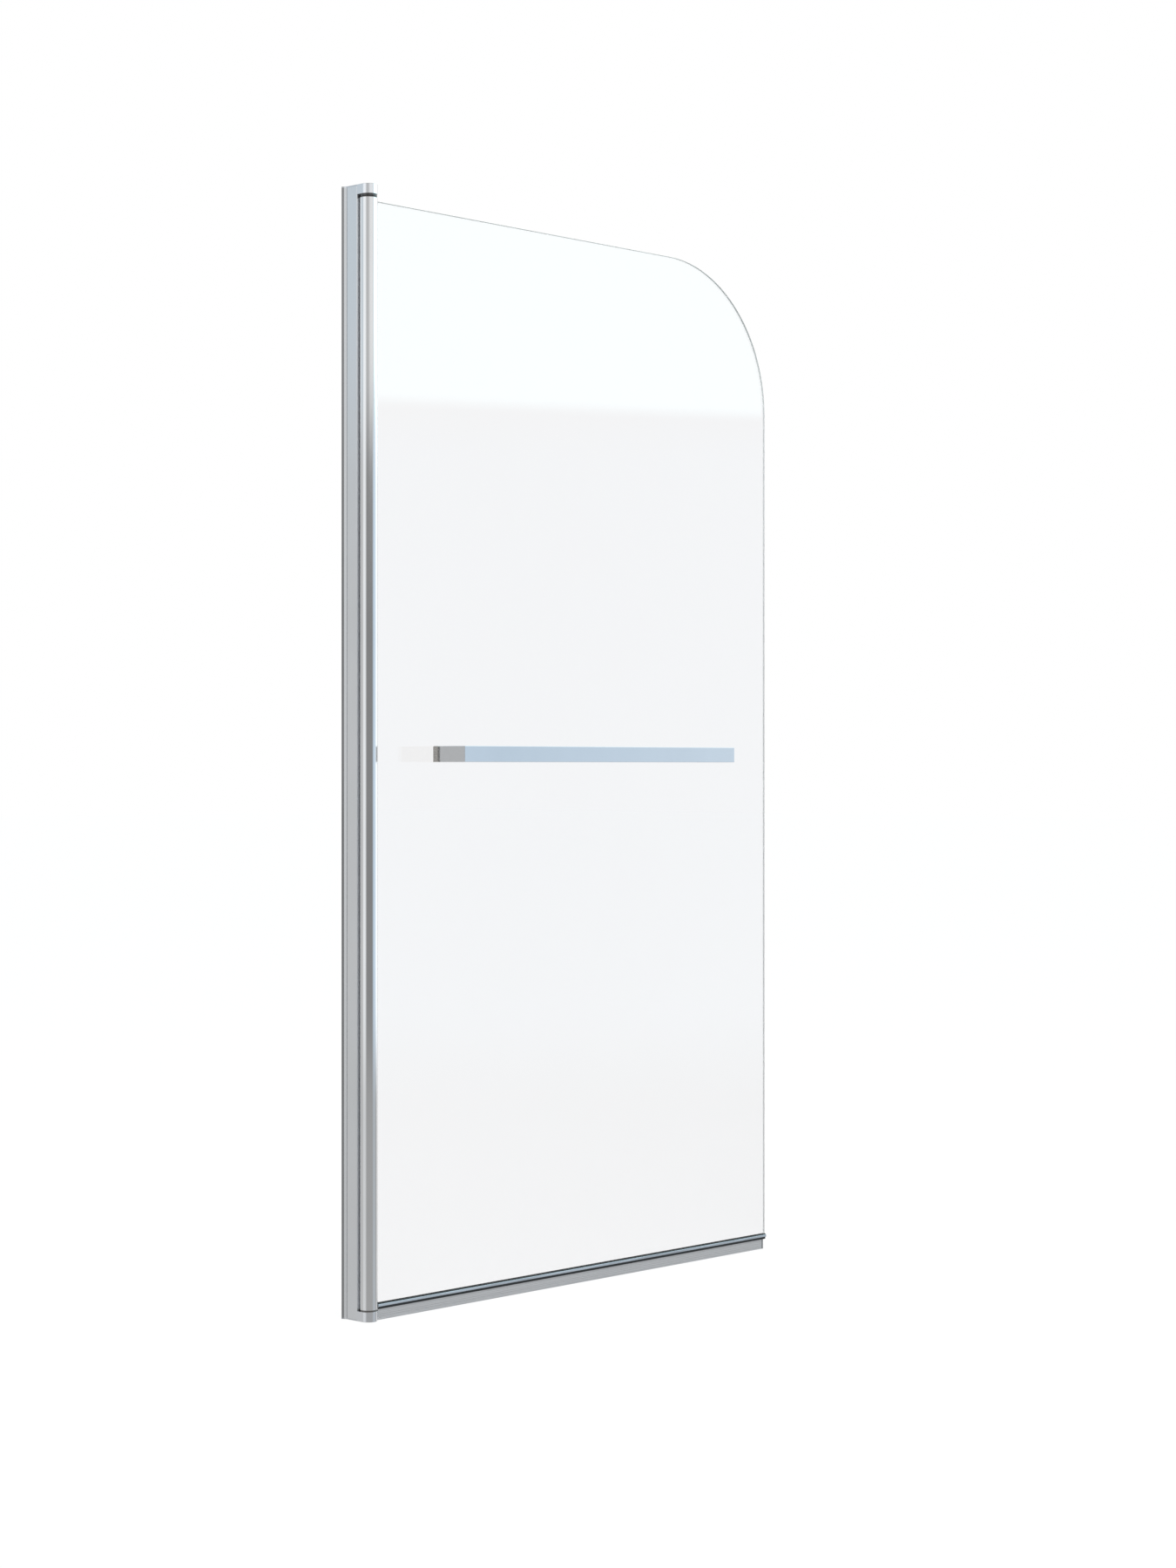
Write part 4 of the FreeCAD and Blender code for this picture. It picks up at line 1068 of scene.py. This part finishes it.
railLow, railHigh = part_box("towel_rail")
basesLow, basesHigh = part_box("rail_bases")
rail = {
    "thickness": 0.012,
    "edge": 0.0003,
    "edgeSteps": 3,
    "grubRadius": 0.00205,
    "grubDepth": 0.0068,
    "grubSetback": 0.006,
    "grubSteps": 32,
    "collarInset": 0.0011,
    "collarEdge": 0.0002,
    "padInset": 0.0005,
    "padGap": 0.00005,
    "padEdge": 0.00015,
}
railEnds = [railLow.x, railHigh.x - rail["thickness"]]


def makeTowelRail():
    # a square bar with a return at each end and a hole under each for its grub screw
    wide = rail["thickness"]
    front, back = railLow.y, railHigh.y
    bm = bmesh.new()
    corners = [(railLow.x, back), (railLow.x, front), (railHigh.x, front), (railHigh.x, back)]
    corners += [(railHigh.x - wide, back), (railHigh.x - wide, front + wide)]
    corners += [(railLow.x + wide, front + wide), (railLow.x + wide, back)]
    verts = [point(bm, x, y, railLow.z) for x, y in corners]
    chain(bm, verts + verts[:1])
    fillOutline(bm)
    extrude(bm, bm.faces[:], (0, 0, railHigh.z - railLow.z))
    bevelEdges(bm, sharpEdges(bm), rail["edge"], rail["edgeSteps"])
    piece = finishPiece("towelRail", bm, "screen", ["railChrome"], ["towel_rail"])
    cutter = bmesh.new()
    for left in railEnds:
        spot = Matrix.Translation((left + wide / 2, back - rail["grubSetback"], railLow.z))
        addCylinder(cutter, rail["grubRadius"], 2 * rail["grubDepth"], spot, rail["grubSteps"])
    carve(piece, cutter)


def makeRailFixings():
    # a base, a collar and a bond pad between the glass and each return of the rail
    wide = rail["thickness"]
    bases, collars, pads = bmesh.new(), bmesh.new(), bmesh.new()
    collarLow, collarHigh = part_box("rail_collars")
    padLow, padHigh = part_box("rail_bond_pads")
    for left in railEnds:
        low = (left, basesLow.y, basesLow.z)
        high = (left + wide, basesHigh.y, basesHigh.z)
        addBlock(bases, low, high, rail["edge"], rail["edgeSteps"])
        inset = rail["collarInset"]
        low = (left + inset, collarLow.y, collarLow.z)
        high = (left + wide - inset, collarHigh.y, collarHigh.z)
        addBlock(collars, low, high, rail["collarEdge"])
        inset = rail["padInset"]
        low = (left + inset, padLow.y, padLow.z)
        high = (left + wide - inset, padHigh.y - rail["padGap"], padHigh.z)
        addBlock(pads, low, high, rail["padEdge"])
    finishPiece("railBases", bases, "screen", ["baseMetal"], ["rail_bases"])
    finishPiece("railCollars", collars, "screen", ["collarPlastic"], ["rail_collars"])
    finishPiece("railBondPads", pads, "screen", ["bondPad"], ["rail_bond_pads"])


makePivotTube()
makeGlassPanel()
makeGlazingGasket()
makeSealGrip()
makeSealCarrier()
makeSealSkirt()
makeSealEndPlug()
makeTowelRail()
makeRailFixings()
print("screen made")

# nodes that stay as they were made, each in a new material
keptNodes = {
    "wall_channel": "channelAluminium",
    "bottom_bush": "blackPlastic",
    "fixing_screws": "screwSteel",
    "top_pivot_plug": "zincBlack",
    "bottom_pivot_plug": "zincBlack",
    "plug_screws": "screwSteel",
    "setting_block": "whiteNylon",
    "rail_studs": "screwSteel",
    "rail_grub_screws": "screwSteel",
}
for node, finish in keptNodes.items():
    mesh = frame["nodes"][node].data
    mesh.materials.clear()
    mesh.materials.append(finishes[finish])
print("kept nodes painted:", len(keptNodes))
